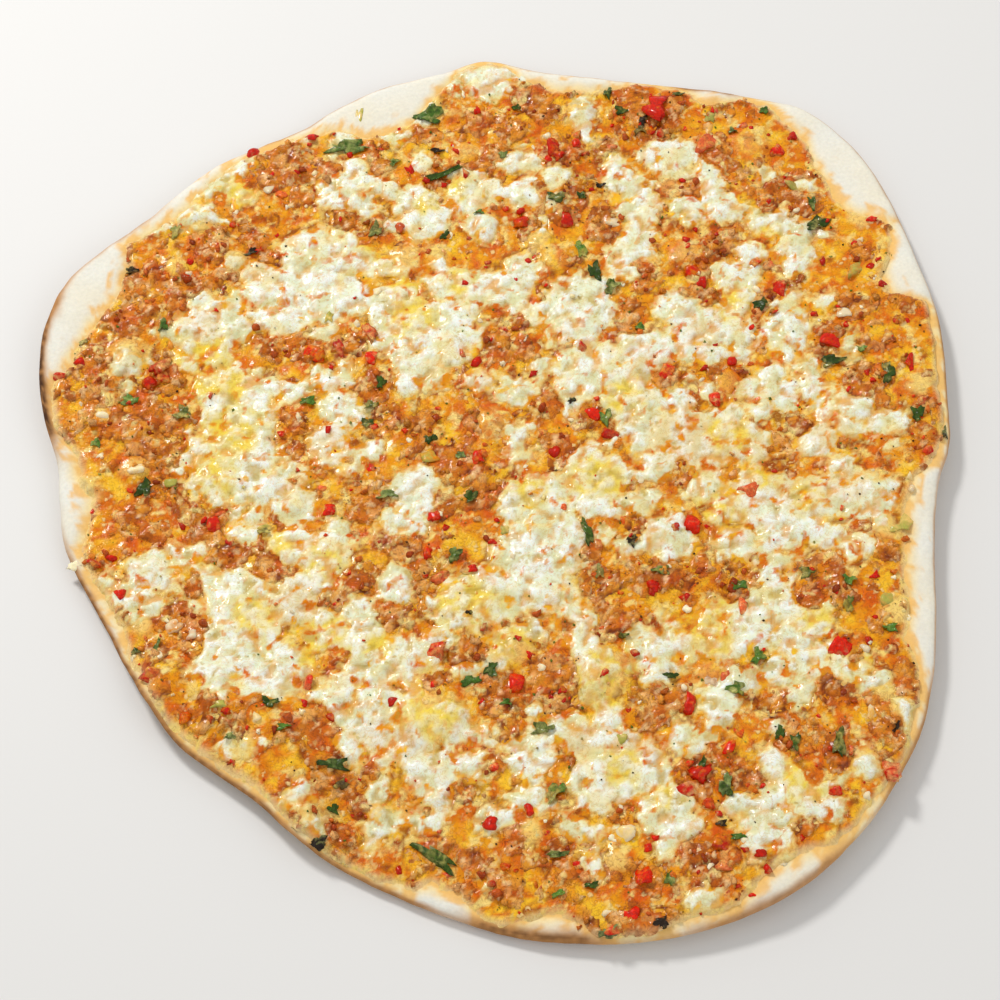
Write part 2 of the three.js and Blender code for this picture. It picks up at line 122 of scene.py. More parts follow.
def crumbs(x, y, cell, seed):
    """Distance to the middle of the nearest crumb, in cells, and that crumb's own number from 0 to 1."""
    table = noise_table(seed, 3)
    u, v = x / cell + 41.3, y / cell + 23.9
    i, j = np.floor(u).astype(int), np.floor(v).astype(int)
    nearest, number = np.full(np.shape(u), 9.0), np.zeros(np.shape(u))
    for di in (-1, 0, 1):
        for dj in (-1, 0, 1):
            a, b = (i + di) % NOISE_CELLS, (j + dj) % NOISE_CELLS
            away = np.hypot(u - i - di - table[0, a, b], v - j - dj - table[1, a, b])
            number = np.where(away < nearest, table[2, a, b], number)
            nearest = np.minimum(nearest, away)
    return nearest, number


def lumps(x, y, cell, seed):
    """1 in the middle of each irregular lump about a cell wide, 0 in the creases between them."""
    return np.clip(1 - 1.5 * crumbs(x, y, cell, seed)[0] ** 2, 0, 1)


def ease(value, low, high):
    """0 up to low, 1 from high on, and a smooth rise between them."""
    t = np.clip((value - low) / (high - low), 0, 1)
    return t * t * (3 - 2 * t)


def pigment(rgb):
    """An sRGB colour in bytes as linear light."""
    c = np.array(rgb, float) / 255
    return np.where(c <= 0.04045, c / 12.92, ((c + 0.055) / 1.055) ** 2.4)


def all_over(rgb, x):
    """One colour at every place."""
    return np.tile(pigment(rgb), (len(x), 1))


def tinted(colour, rgb, amount):
    return colour + (pigment(rgb) - colour) * np.clip(amount, 0, 1)[..., None]


def layered(colour, layers):
    """A colour with others laid over it in turn, each given with its amount."""
    for rgb, amount in layers:
        colour = tinted(colour, rgb, amount)
    return colour


# The rim's reach in each direction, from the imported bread's outermost corners.
SPOKES = 56
bread_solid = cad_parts["flatbread"].data
corners = np.array([v.co for v in bread_solid.vertices]) / MM
corner_turn = np.arctan2(corners[:, 1], corners[:, 0]) / (2 * np.pi / SPOKES)
corner_spoke = np.round(corner_turn).astype(int) % SPOKES
spoke_reach = np.array([np.hypot(*corners[corner_spoke == k, :2].T).max() for k in range(SPOKES)])


def rim_reach(x, y):
    """Distance from the middle to the rim, in the direction of a place."""
    turn = np.arctan2(y, x) / (2 * np.pi / SPOKES)
    k = np.floor(turn).astype(int)
    t = turn - k
    a, b, c, d = (spoke_reach[(k + shift) % SPOKES] for shift in (-1, 0, 1, 2))
    smooth = b + 0.5 * t * (c - a + t * (2 * a - 5 * b + 4 * c - d + t * (3 * (b - c) + d - a)))
    away = np.maximum(np.hypot(x, y), 1e-6)
    edge_x, edge_y = x / away * smooth, y / away * smooth
    return smooth - 0.15 - 0.9 * cloud(edge_x, edge_y, 7, 301, 2) * cloud(edge_x, edge_y, 30, 303)


def from_edge(x, y):
    return rim_reach(x, y) - np.hypot(x, y)


# The height of the bread's underside over the table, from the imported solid, smoothed.
BASE_STEP = 3.0
BASE_LOW = -156.0
BASE_COUNT = 105
STRAIGHT_EDGE = 4.5  # inside this, the solid's underside isn't rounded off
base_line = BASE_LOW + BASE_STEP * np.arange(BASE_COUNT)
base_x, base_y = np.meshgrid(base_line, base_line, indexing="ij")
pull = np.minimum(1, (rim_reach(base_x, base_y) - STRAIGHT_EDGE) / np.maximum(np.hypot(base_x, base_y), 1))
solid_tree = BVHTree.FromPolygons(
    [v.co for v in bread_solid.vertices], [p.vertices for p in bread_solid.polygons]
)
base = np.zeros_like(base_x)
for row in range(BASE_COUNT):
    for column in range(BASE_COUNT):
        place = Vector((base_x[row, column], base_y[row, column], -50)) * MM
        place.x *= pull[row, column]
        place.y *= pull[row, column]
        base[row, column] = solid_tree.ray_cast(place, Vector((0, 0, 1)))[0].z / MM


def underside(x, y):
    """Quadratic B-spline through the grid of heights."""
    u, v = (x - BASE_LOW) / BASE_STEP, (y - BASE_LOW) / BASE_STEP
    i, j = np.round(u).astype(int), np.round(v).astype(int)
    fu, fv = u - i, v - j
    total = 0
    for di, wu in zip((-1, 0, 1), (0.5 * (0.5 - fu) ** 2, 0.75 - fu**2, 0.5 * (0.5 + fu) ** 2)):
        for dj, wv in zip((-1, 0, 1), (0.5 * (0.5 - fv) ** 2, 0.75 - fv**2, 0.5 * (0.5 + fv) ** 2)):
            total = total + wu * wv * base[i + di, j + dj]
    return total


bare_turns = np.radians([turn for turn, _ in BARE_RIM])
bare_depths = np.array([depth for _, depth in BARE_RIM])


def bare_depth(x, y):
    ragged = 2.6 * (cloud(x, y, 7, 311, 2) - 0.5)
    return np.interp(np.arctan2(y, x), bare_turns, bare_depths, period=2 * np.pi) + ragged


def turn_from(x, y, direction):
    """Angle in degrees between a place and a direction."""
    return np.abs((np.degrees(np.arctan2(y, x)) - direction + 180) % 360 - 180)


def half_dough(x, y):
    inside = from_edge(x, y)
    bare = bare_depth(x, y)
    puff = RIM_PUFF * ease(bare, 3, 8) * (1 - ease(inside, 0.5 * bare, 1.1 * bare))
    puff = puff * (0.55 + 0.9 * cloud(x, y, 13, 321, 2))
    rounding = np.sqrt(1 - (1 - np.clip(inside / EDGE_ROUND, 0, 1)) ** 2)
    return 0.5 * (DOUGH + puff) * rounding


def dough_top(x, y):
    ripple = 0.5 * (cloud(x, y, 9, 331, 3) - 0.5) * ease(from_edge(x, y), 0, 4)
    return underside(x, y) + 0.5 * DOUGH + half_dough(x, y) + ripple


def bread_top(x, y):
    """The dough's top, a little lower where the meat hides it."""
    return dough_top(x, y) - 0.6 * ease(from_edge(x, y), 22, 30)


def dough_under(x, y):
    half = np.minimum(half_dough(x, y), 0.5 * DOUGH)
    pocks = 0.35 * lumps(x, y, 11, 341) * ease(from_edge(x, y), 0, 4)
    return np.maximum(underside(x, y) + 0.5 * DOUGH - half + pocks * (half > 0.4 * DOUGH), 0.0)


def dough_colour(x, y, below):
    """Floured white on top, stained by oil next to the sauce, toasted at the edge and below."""
    inside = from_edge(x, y)
    beyond_sauce = bare_depth(x, y) - inside
    flour = ease(beyond_sauce, 0.8, 4.5) * (0.55 + 0.6 * cloud(x, y, 16, 351, 2))
    smudge = ease(torn(x, y, 4, 355, 2) + 0.06 * (2.5 - beyond_sauce), 0.47, 0.64)
    smudge = smudge * ease(9 - beyond_sauce, 0, 4)
    colour = layered(all_over(DOUGH_CREAM, x), [
        (FLOUR_WHITE, np.where(below, 0.2, flour)),
        (OIL_STAINED, 0.9 * (1 - ease(beyond_sauce, -0.5, 2.4)) * ~below),
        (SAUCE_SMUDGE, 0.75 * smudge * ~below),
    ])
    for direction, half_width, depth, strength in TOAST:
        where = 1 - ease(turn_from(x, y, direction), 0.5 * half_width, 1.1 * half_width)
        ragged = depth * (0.55 + 0.9 * cloud(x, y, 6, 361, 2))
        amount = strength * where * (1 - ease(inside, 0.15 * ragged, ragged))
        colour = tinted(colour, TOASTED, 1.15 * amount)
        speckle = ease(cloud(x, y, 1.6, 371, 2) + 0.5 * amount, 0.72, 1.05)
        colour = tinted(colour, CHARRED, amount**3 * (0.35 + 0.65 * speckle))
    spots = ease(cloud(x, y, 8, 381, 3), 0.47, 0.75)
    scorch = ease(cloud(x, y, 5, 391, 2) * cloud(x, y, 26, 395), 0.36, 0.62)
    baked = ease(cloud(x, y, 34, 385, 2), 0.38, 0.7)
    colour = tinted(colour, TOASTED, below * (0.2 + 0.3 * baked + 0.5 * spots))
    return tinted(colour, CHARRED, below * 0.75 * scorch)


def paint(colour, strength):
    return np.column_stack([colour, np.broadcast_to(strength, len(colour))])


def new_piece(name, points, faces, paints, material):
    """A smooth-shaded mesh in metres from points in millimetres. The first paint's fourth number is
    how strongly the painted shade of the crease lines shows at a point, the second's is its share of the
    surface there."""
    mesh = bpy.data.meshes.new(name)
    mesh.from_pydata((points * MM).tolist(), [], faces)
    mesh.polygons.foreach_set("use_smooth", np.ones(len(mesh.polygons), bool))
    for layer_name, values in zip(("colour", "second"), [*paints, np.zeros((len(points), 4))]):
        layer = mesh.color_attributes.new(name=layer_name, type="FLOAT_COLOR", domain="POINT")
        layer.data.foreach_set("color", values.ravel())
    mesh.materials.append(material)
    mesh.update()
    piece = bpy.data.objects.new(name, mesh)
    bpy.context.scene.collection.objects.link(piece)
    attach(piece, "root")
    return piece


def food_material(
    name, roughness, scatter, grain, grain_height, mottling, crease_shade=None, pit=None, fleck=None, wet=0.38
):
    """The piece's two paints torn into each other, with thin creases darkened in a painted shade colour,
    small pits and raised flecks in colours of their own, broken up by a mottling, over a fine grain, under
    a wet film."""
    material = bpy.data.materials.new(name)
    material.use_nodes = True
    nodes, links = material.node_tree.nodes, material.node_tree.links
    shader = nodes["Principled BSDF"]
    shader.inputs["Specular IOR Level"].default_value = 0.12
    shader.inputs["Coat Weight"].default_value = wet
    shader.inputs["Coat Roughness"].default_value = 0.08
    shader.inputs["Coat IOR"].default_value = 1.36
    shader.inputs["Subsurface Weight"].default_value = scatter
    shader.inputs["Subsurface Scale"].default_value = 0.0012
    shader.inputs["Subsurface Radius"].default_value = (1.0, 0.8, 0.55)
    place = nodes.new("ShaderNodeTexCoord").outputs["Object"]

    def noise(size, detail, distortion=0.0):
        node = nodes.new("ShaderNodeTexNoise")
        node.inputs["Scale"].default_value = 1 / (size * MM)
        node.inputs["Detail"].default_value = detail
        node.inputs["Distortion"].default_value = distortion
        links.new(place, node.inputs["Vector"])
        return node.outputs["Fac"]

    def ranged(value, from_low, from_high, to_low, to_high):
        node = nodes.new("ShaderNodeMapRange")
        for socket, number in zip(node.inputs[1:5], (from_low, from_high, to_low, to_high)):
            socket.default_value = number
        links.new(value, node.inputs["Value"])
        return node.outputs["Result"]

    def worked_out(operation, first, second):
        node = nodes.new("ShaderNodeMath")
        node.operation = operation
        for socket, value in zip(node.inputs, (first, second)):
            if isinstance(value, float):
                socket.default_value = value
            else:
                links.new(value, socket)
        return node.outputs["Value"]

    def laid_over(lower, upper, share):
        node = nodes.new("ShaderNodeMix")
        node.data_type = "RGBA"
        links.new(share, node.inputs[0])
        links.new(lower, node.inputs[6])
        if isinstance(upper, tuple):
            node.inputs[7].default_value = (*pigment(upper), 1)
        else:
            links.new(upper, node.inputs[7])
        return node.outputs[2]

    first, second = nodes.new("ShaderNodeAttribute"), nodes.new("ShaderNodeAttribute")
    first.attribute_name, second.attribute_name = "colour", "second"
    tearing = worked_out("ADD", second.outputs["Alpha"], ranged(noise(3.0, 4, 0.8), 0, 1, -0.6, 0.6))
    colour = laid_over(first.outputs["Color"], second.outputs["Color"], ranged(tearing, 0.30, 0.72, 0, 1))
    height = ranged(noise(grain, 3), 0, 1, 0, 1)
    # Crease lines: a groove in the bump, its colour darkened with painted shade.
    if crease_shade:
        line = worked_out("ABSOLUTE", worked_out("SUBTRACT", noise(2.3, 3, 1.3), 0.5), 0.0)
        line = worked_out("MULTIPLY", ranged(line, 0.0, 0.04, 1, 0), first.outputs["Alpha"])
        colour = laid_over(colour, crease_shade, line)
        height = worked_out("SUBTRACT", height, ranged(line, 0, 1, 0, 0.5))
    for tint, size, way, most in ((pit, 2.1, "SUBTRACT", 0.5), (fleck, 2.5, "ADD", 0.8)):
        if tint:
            cells = nodes.new("ShaderNodeTexVoronoi")
            cells.inputs["Scale"].default_value = 1 / (size * MM)
            links.new(place, cells.inputs["Vector"])
            ragged = worked_out("ADD", cells.outputs["Distance"], ranged(noise(1.2, 3), 0, 1, -0.45, 0.45))
            dots = ranged(ragged, 0.18, 0.34, 1, 0)
            dots = worked_out("MULTIPLY", dots, ranged(noise(3 * size, 2), 0.47, 0.6, 0, most))
            colour = laid_over(colour, tint, dots)
            height = worked_out(way, height, dots)
    brightness = nodes.new("ShaderNodeHueSaturation")
    links.new(colour, brightness.inputs["Color"])
    links.new(ranged(noise(1.1, 4), 0.3, 0.7, 1 - mottling, 1 + mottling), brightness.inputs["Value"])
    links.new(brightness.outputs["Color"], shader.inputs["Base Color"])
    links.new(ranged(noise(1.8, 3), 0.35, 0.65, roughness[0], roughness[1]), shader.inputs["Roughness"])
    bump = nodes.new("ShaderNodeBump")
    bump.inputs["Distance"].default_value = grain_height * MM
    bump.inputs["Strength"].default_value = 1.0
    links.new(height, bump.inputs["Height"])
    links.new(bump.outputs["Normal"], shader.inputs["Normal"])
    return material


AROUND = 640
TOP_RINGS = np.concatenate([[0.25, 0.6, 1.1, 1.7, 2.4], np.arange(3.2, 24, 0.9), np.arange(25, 112, 6)])
UNDER_RINGS = np.concatenate([[0.25, 0.6, 1.1, 1.7, 2.4], np.arange(3.2, 30, 1.5), np.arange(32, 119, 2.0)])
RIM_RINGS = 30  # rings nearer the rim than this follow it, the rest shrink evenly to the middle
MIDDLE_RING = 120
turns = 2 * np.pi * np.arange(AROUND) / AROUND
ray_x, ray_y = np.cos(turns), np.sin(turns)
reach = rim_reach(ray_x, ray_y)


def ring_places(rings):
    rings = rings[:, None]
    shrinking = (reach - RIM_RINGS) * (MIDDLE_RING - rings) / (MIDDLE_RING - RIM_RINGS)
    away = np.where(rings <= RIM_RINGS, reach - rings, shrinking)
    return (away * ray_x).ravel(), (away * ray_y).ravel()


rim_x, rim_y = reach * ray_x, reach * ray_y
rim_z = underside(rim_x, rim_y) + 0.5 * DOUGH
top_x, top_y = ring_places(TOP_RINGS)
under_x, under_y = ring_places(UNDER_RINGS)
bread_points = np.concatenate([
    np.column_stack([rim_x, rim_y, rim_z]),
    np.column_stack([top_x, top_y, bread_top(top_x, top_y)]),
    np.column_stack([under_x, under_y, dough_under(under_x, under_y)]),
    [[0, 0, bread_top(np.zeros(1), np.zeros(1))[0]], [0, 0, 0]],
])
first_under = 1 + len(TOP_RINGS)
rings_in_order = list(range(first_under)), [0] + list(range(first_under, first_under + len(UNDER_RINGS)))
bread_faces = []
for facing_up, order in zip((True, False), rings_in_order):
    middle = len(bread_points) - (2 if facing_up else 1)
    for outer, inner in zip(order[:-1], order[1:]):
        for k in range(AROUND):
            n = (k + 1) % AROUND
            quad = (outer * AROUND + k, outer * AROUND + n, inner * AROUND + n, inner * AROUND + k)
            bread_faces.append(quad if facing_up else quad[::-1])
    for k in range(AROUND):
        n = (k + 1) % AROUND
        fan = (order[-1] * AROUND + k, order[-1] * AROUND + n, middle)
        bread_faces.append(fan if facing_up else fan[::-1])
is_below = np.zeros(len(bread_points), bool)
is_below[first_under * AROUND:-2] = True
is_below[-1] = True
bread = new_piece(
    "baked_bread",
    bread_points,
    bread_faces,
    [paint(dough_colour(bread_points[:, 0], bread_points[:, 1], is_below), 0.0)],
    food_material(
        "floury_baked_dough",
        roughness=(0.75, 0.95), scatter=0.08, grain=0.9, grain_height=0.12, mottling=0.05, wet=0.0,
    ),
)
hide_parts("flatbread")

# ------------------------------------------------------------------------------------------
# The meat spread. Minced lamb pounded with tomato, red pepper paste and onion, pressed thin
# over the dough before baking. Orange oil cooked out of it, and air blisters lifted it.
# ------------------------------------------------------------------------------------------
SPREAD = 1.25
SAUCE_ORANGE = (234, 150, 6)
SAUCE_GOLD = (248, 194, 40)
SAUCE_DEEP = (216, 108, 0)
SAUCE_RED = (218, 82, 0)
MEAT_BROWN = (212, 126, 14)
BLISTER_CREAM = (248, 212, 118)
# Dark red-brown for painted shade in the spread's creases and along the cheese's edge.
SAUCE_CREASE_SHADE = (134, 48, 0)
CHEESE_VEIL = (246, 220, 138)
SAUCE_FLECK = (246, 212, 140)

# Air blisters: [x, y, radius, height, how much the pale dough shows through].
BLISTERS = [
    (16, 77, 5, 1.2, 0.7), (20, 70, 6, 1.6, 0.2), (-2, 84, 5, 1.3, 0.9), (31, 127, 5, 1.2, 0.9),
    (62, 72, 6, 1.3, 0.5), (86, 113, 8, 1.4, 0.25), (-92, 86, 6, 1.2, 0.8), (0, 12, 6, 1.4, 0.3),
    (30, -71, 9, 2.2, 0.7), (-20, -83, 11, 2.4, 0.6), (5, -63, 6, 1.6, 0.6), (-33, -112, 4, 1.0, 0.9),
    (75, -102, 4, 1.1, 0.9), (-26, 72, 6, 1.0, 0.7), (-7, 112, 5, 0.9, 0.4), (-111, 37, 6, 1.5, 0.8),
    (-107, -3, 5, 1.0, 0.6), (123, 85, 5, 0.8, 0.7), (72, 24, 5, 1.1, 0.3), (-122, -11, 7, 1.6, 0.9),
    (8, -118, 4, 1.0, 0.7), (46, -66, 5, 1.0, 0.4), (100, -102, 5, 1.1, 0.9), (113, -86, 5, 1.0, 0.9),
    (-80, 71, 4, 0.9, 0.8), (-98, 68, 4, 0.8, 0.6), (60, -72, 4, 0.8, 0.3), (108, 11, 6, 0.8, 0.4),
    (127, 63, 7, 1.0, 0.95), (115, -55, 6, 0.8, 0.9), (-52, -113, 4, 0.8, 0.8), (123, 57, 4, 0.8, 0.9),
    (-102, -55, 4, 0.6, 0.8), (31, -127, 4, 0.7, 0.8), (129, 19, 5, 0.6, 0.9), (114, -29, 5, 0.8, 0.9),
    (-19, 131, 5, 0.6, 0.9), (-16, 73, 5, 0.8, 0.8), (118, 82, 5, 0.6, 0.8), (112, -14, 5, 0.8, 0.9),
    (-71, -92, 5, 0.6, 0.9), (-118, 15, 3, 0.6, 0.9), (108, -80, 4, 0.8, 0.9),
]
# Heaps of minced meat that lie open between the cheese: [x, y, radius].
MEAT = [
    (-66, 110, 8), (-62, 103, 7), (-60, 95, 5), (-75, 78, 6), (-68, 72, 6), (-88, 75, 7), (-97, 62, 8),
    (-115, 64, 6), (-106, 66, 5), (-113, 80, 4), (-110, 52, 8), (-122, 50, 5), (13, 135, 7), (18, 128, 7),
    (8, 121, 7), (47, 133, 8), (46, 124, 7), (56, 126, 7), (62, 128, 6), (85, 132, 5), (93, 94, 7),
    (103, 88, 6), (100, 100, 5), (72, 75, 7), (65, 97, 5), (78, 103, 6), (76, 112, 5), (117, 69, 5),
    (36, 84, 8), (38, 78, 5), (24, 88, 7), (28, 96, 6), (24, 112, 7), (2, 110, 5), (-47, 88, 6),
    (-35, 82, 5), (-19, 101, 4), (-38, 112, 5), (-52, 105, 5), (-19, 119, 5), (-3, 122, 6), (48, 66, 6),
    (43, 46, 7), (45, 52, 5), (65, 55, 8), (66, 65, 6), (-122, 32, 7), (-121, 20, 5), (-112, 28, 5),
    (-100, 27, 7), (-103, 14, 8), (-113, 11, 8), (-106, 2, 7), (-100, -8, 6), (-107, -17, 7),
    (-100, -24, 6), (-118, -34, 5), (-86, -21, 7), (-77, -31, 7), (-67, -38, 8), (-60, 13, 6), (-61, 4, 4),
    (-66, 40, 7), (-57, 39, 7), (-45, 42, 6), (-93, -52, 7), (-86, -59, 8), (-97, -63, 4), (-88, -42, 4),
    (5, 39, 9), (8, 45, 5), (17, 18, 6), (28, 14, 6), (19, 4, 5), (20, -3, 4), (-5, 13, 5), (-22, 11, 6),
    (-36, 24, 7), (-32, 15, 5), (-11, -2, 9), (-3, -13, 7), (-15, -17, 6), (-38, -15, 7), (-28, -30, 7),
    (-22, -40, 6), (-10, -28, 7), (-40, -40, 6), (28, -34, 5), (30, -43, 7), (42, -26, 5), (54, -8, 6),
    (112, 47, 8), (118, 36, 7), (129, 50, 6), (115, 22, 7), (104, 40, 5), (53, 27, 5), (72, 27, 6),
    (92, 8, 5), (127, 3, 4), (130, 12, 4), (114, -36, 5), (108, -28, 5), (55, -40, 8), (45, -42, 7),
    (70, -43, 7), (95, -42, 7), (100, -52, 7), (60, -37, 5), (35, -54, 6), (30, -58, 5), (-32, -51, 5),
    (-47, -47, 4), (-8, -64, 6), (8, -56, 5), (16, -73, 9), (3, -76, 7), (-3, -73, 5), (2, -87, 5),
    (46, -78, 6), (43, -86, 5), (52, -80, 5), (-47, -100, 8), (-38, -104, 6), (-52, -86, 8), (-67, -81, 5),
    (-44, -118, 5), (-3, -99, 5), (-10, -105, 4), (-19, -122, 5), (-10, -128, 6), (3, -121, 5),
    (15, -124, 5), (18, -133, 6), (0, -134, 6), (30, -129, 5), (40, -131, 6), (53, -127, 6), (33, -114, 4),
    (34, -144, 6), (42, -146, 5), (55, -104, 8), (67, -106, 6), (60, -98, 5), (95, -80, 7), (107, -84, 6),
    (115, -76, 6), (78, -84, 5), (84, -94, 8), (93, -98, 7), (108, -92, 5), (60, -127, 5), (82, -119, 4),
    (105, -60, 4), (112, -60, 3), (-85, -85, 5), (-97, -75, 5), (-70, -88, 5), (-81, -80, 4), (38, 112, 5),
    (-115, 47, 6), (-98, 10, 6), (-40, 78, 5), (-5, 108, 5), (38, 42, 4), (110, 18, 6), (117, 14, 5),
    (-60, -8, 5), (-110, -28, 6), (-88, -26, 5), (-21, -47, 6), (92, -48, 7), (100, -67, 5), (15, -80, 5),
    (-58, -88, 6), (86, 0, 6), (104, 0, 2), (52, 117, 7), (-55, 104, 7), (-35, 107, 4), (-73, 105, 6),
    (56, 96, 7), (16, 98, 4), (17, 89, 4), (90, 88, 5), (-110, 61, 6), (101, 35, 3), (87, 53, 4.5),
    (95, 25, 3), (-90, 62, 4), (-83, 65, 3.5), (57, -132, 5), (-86, -53, 4), (-70, 101, 5), (-87, 61, 4),
    (-97, 3, 6), (15, 84, 4), (-38, -108, 5), (-111, 44, 6), (97, 61, 3), (-95, 50, 7), (21, 106, 4),
    (96, 84, 5), (-84, 60, 6), (-49, 105, 4), (-112, 45, 4), (85, 48, 6), (53, -134, 4), (48, 124, 6),
    (113, 17, 7), (3, 101, 4), (-114, 0, 5), (-113, 62, 4), (71, 111, 6), (-85, -62, 6), (-93, 58, 4),
    (12, 82, 4), (5, 113, 4),
]
# Smooth pools of oily sauce with little meat in them: [x, y, radius].
OILY = [
    (-78, 62, 5), (-105, 74, 6), (-86, 92, 6), (-35, 92, 5), (-52, 124, 6), (-20, 134, 7), (28, 117, 5),
    (96, 108, 7), (112, 60, 8), (118, 78, 8), (120, 40, 6), (62, 18, 5), (-60, 30, 5), (-12, 20, 6),
    (-33, -2, 6), (-10, -26, 7), (-52, -22, 6), (50, -20, 6), (104, -60, 9), (108, -44, 7), (60, -72, 6),
    (70, -90, 6), (-118, 2, 6), (-114, -28, 6), (-104, -70, 5), (-60, -100, 7), (-30, -128, 6),
    (-112, -12, 6), (-66, -84, 5), (-15, -130, 4), (22, -138, 6), (84, -8, 5), (104, -3, 3), (86, -103, 5),
    (-105, -30, 4), (30, -137, 4), (60, -118, 4), (5, -128, 4), (95, -118, 5), (96, -8, 6), (-8, 72, 6),
    (68, 124, 5), (8, 12, 5),
]


def nearest_spot(x, y, spots, stretch=1.0):
    """1 in the middle of a spot, 0 at its edge, negative outside: the highest over all the spots."""
    best = np.full(np.shape(x), -1.0)
    for spot_x, spot_y, radius in spots:
        best = np.maximum(best, 1 - np.hypot(x - spot_x, y - spot_y) / (stretch * radius))
    return best


def meat_heaps(x, y):
    """0 where there is only sauce, 1 where the meat is thick."""
    ragged = 1.1 * (cloud(x, y, 5.5, 411, 2) - 0.5)
    heaps = ease(nearest_spot(x, y, MEAT, 1.15) + ragged, 0.0, 0.5)
    loose = ease(cloud(x, y, 7, 421, 2), 0.56, 0.72)
    oily = ease(nearest_spot(x, y, OILY, 1.2), 0.0, 0.4)
    blistered = ease(nearest_spot(x, y, [spot[:3] for spot in BLISTERS]), 0.0, 0.3)
    return np.maximum(heaps, 0.5 * loose) * (1 - 0.85 * oily) * (1 - 0.9 * blistered)


def blister_height(x, y):
    height = 0
    for spot_x, spot_y, radius, rise, _ in BLISTERS:
        away = np.hypot(x - spot_x, y - spot_y) / radius
        height = height + rise * np.clip(1 - away**2, 0, 1) ** 0.8 * (away < 1)
    return height


def sauce_cover(x, y):
    """1 well inside the sauce's edge, 0 on the bare rim."""
    ragged = 3.0 * (torn(x, y, 3.5, 425, 2) - 0.5)
    return ease(from_edge(x, y) - bare_depth(x, y) + ragged, -1.0, 2.0)


def spread_top(x, y):
    cover = sauce_cover(x, y)
    pressed = ease(cheese_depth(x, y), 0.3, 2.0)
    lumpy = (0.25 + 0.5 * meat_heaps(x, y)) * (lumps(x, y, 3.1, 451) - 0.55)
    uneven = 0.6 * (cloud(x, y, 5, 441, 3) - 0.5) + lumpy
    uneven = 1.2 * (cloud(x, y, 15, 431, 2) - 0.5) + uneven * (1 - pressed) - 0.5 * pressed
    return dough_top(x, y) - 0.5 + cover * (0.5 + SPREAD + uneven) + cover * blister_height(x, y)


def sauce_colour(x, y):
    colour = layered(all_over(SAUCE_ORANGE, x), [
        (SAUCE_GOLD, ease(torn(x, y, 8, 461, 3), 0.40, 0.68)),
        (SAUCE_DEEP, ease(torn(x, y, 5, 471, 3), 0.42, 0.70)),
        (MEAT_BROWN, 0.5 * meat_heaps(x, y)),
        (SAUCE_RED, 0.75 * ease(torn(x, y, 5, 481, 3), 0.53, 0.72)),
        # painted shade, with some browning, along the edge of the cheese
        (SAUCE_CREASE_SHADE, 0.8 * browned_and_shaded_border(x, y)),
    ])
    ragged = 0.7 * torn(x, y, 3, 491)
    for spot_x, spot_y, radius, _, pale in BLISTERS:
        away = np.hypot(x - spot_x, y - spot_y) / radius
        colour = tinted(colour, BLISTER_CREAM, pale * (1 - ease(away + ragged - 0.35, 0.4, 1.0)))
    edge = from_edge(x, y) - bare_depth(x, y)
    return tinted(colour, OIL_STAINED, 0.75 * (1 - ease(edge, 0.2, 2.6)))


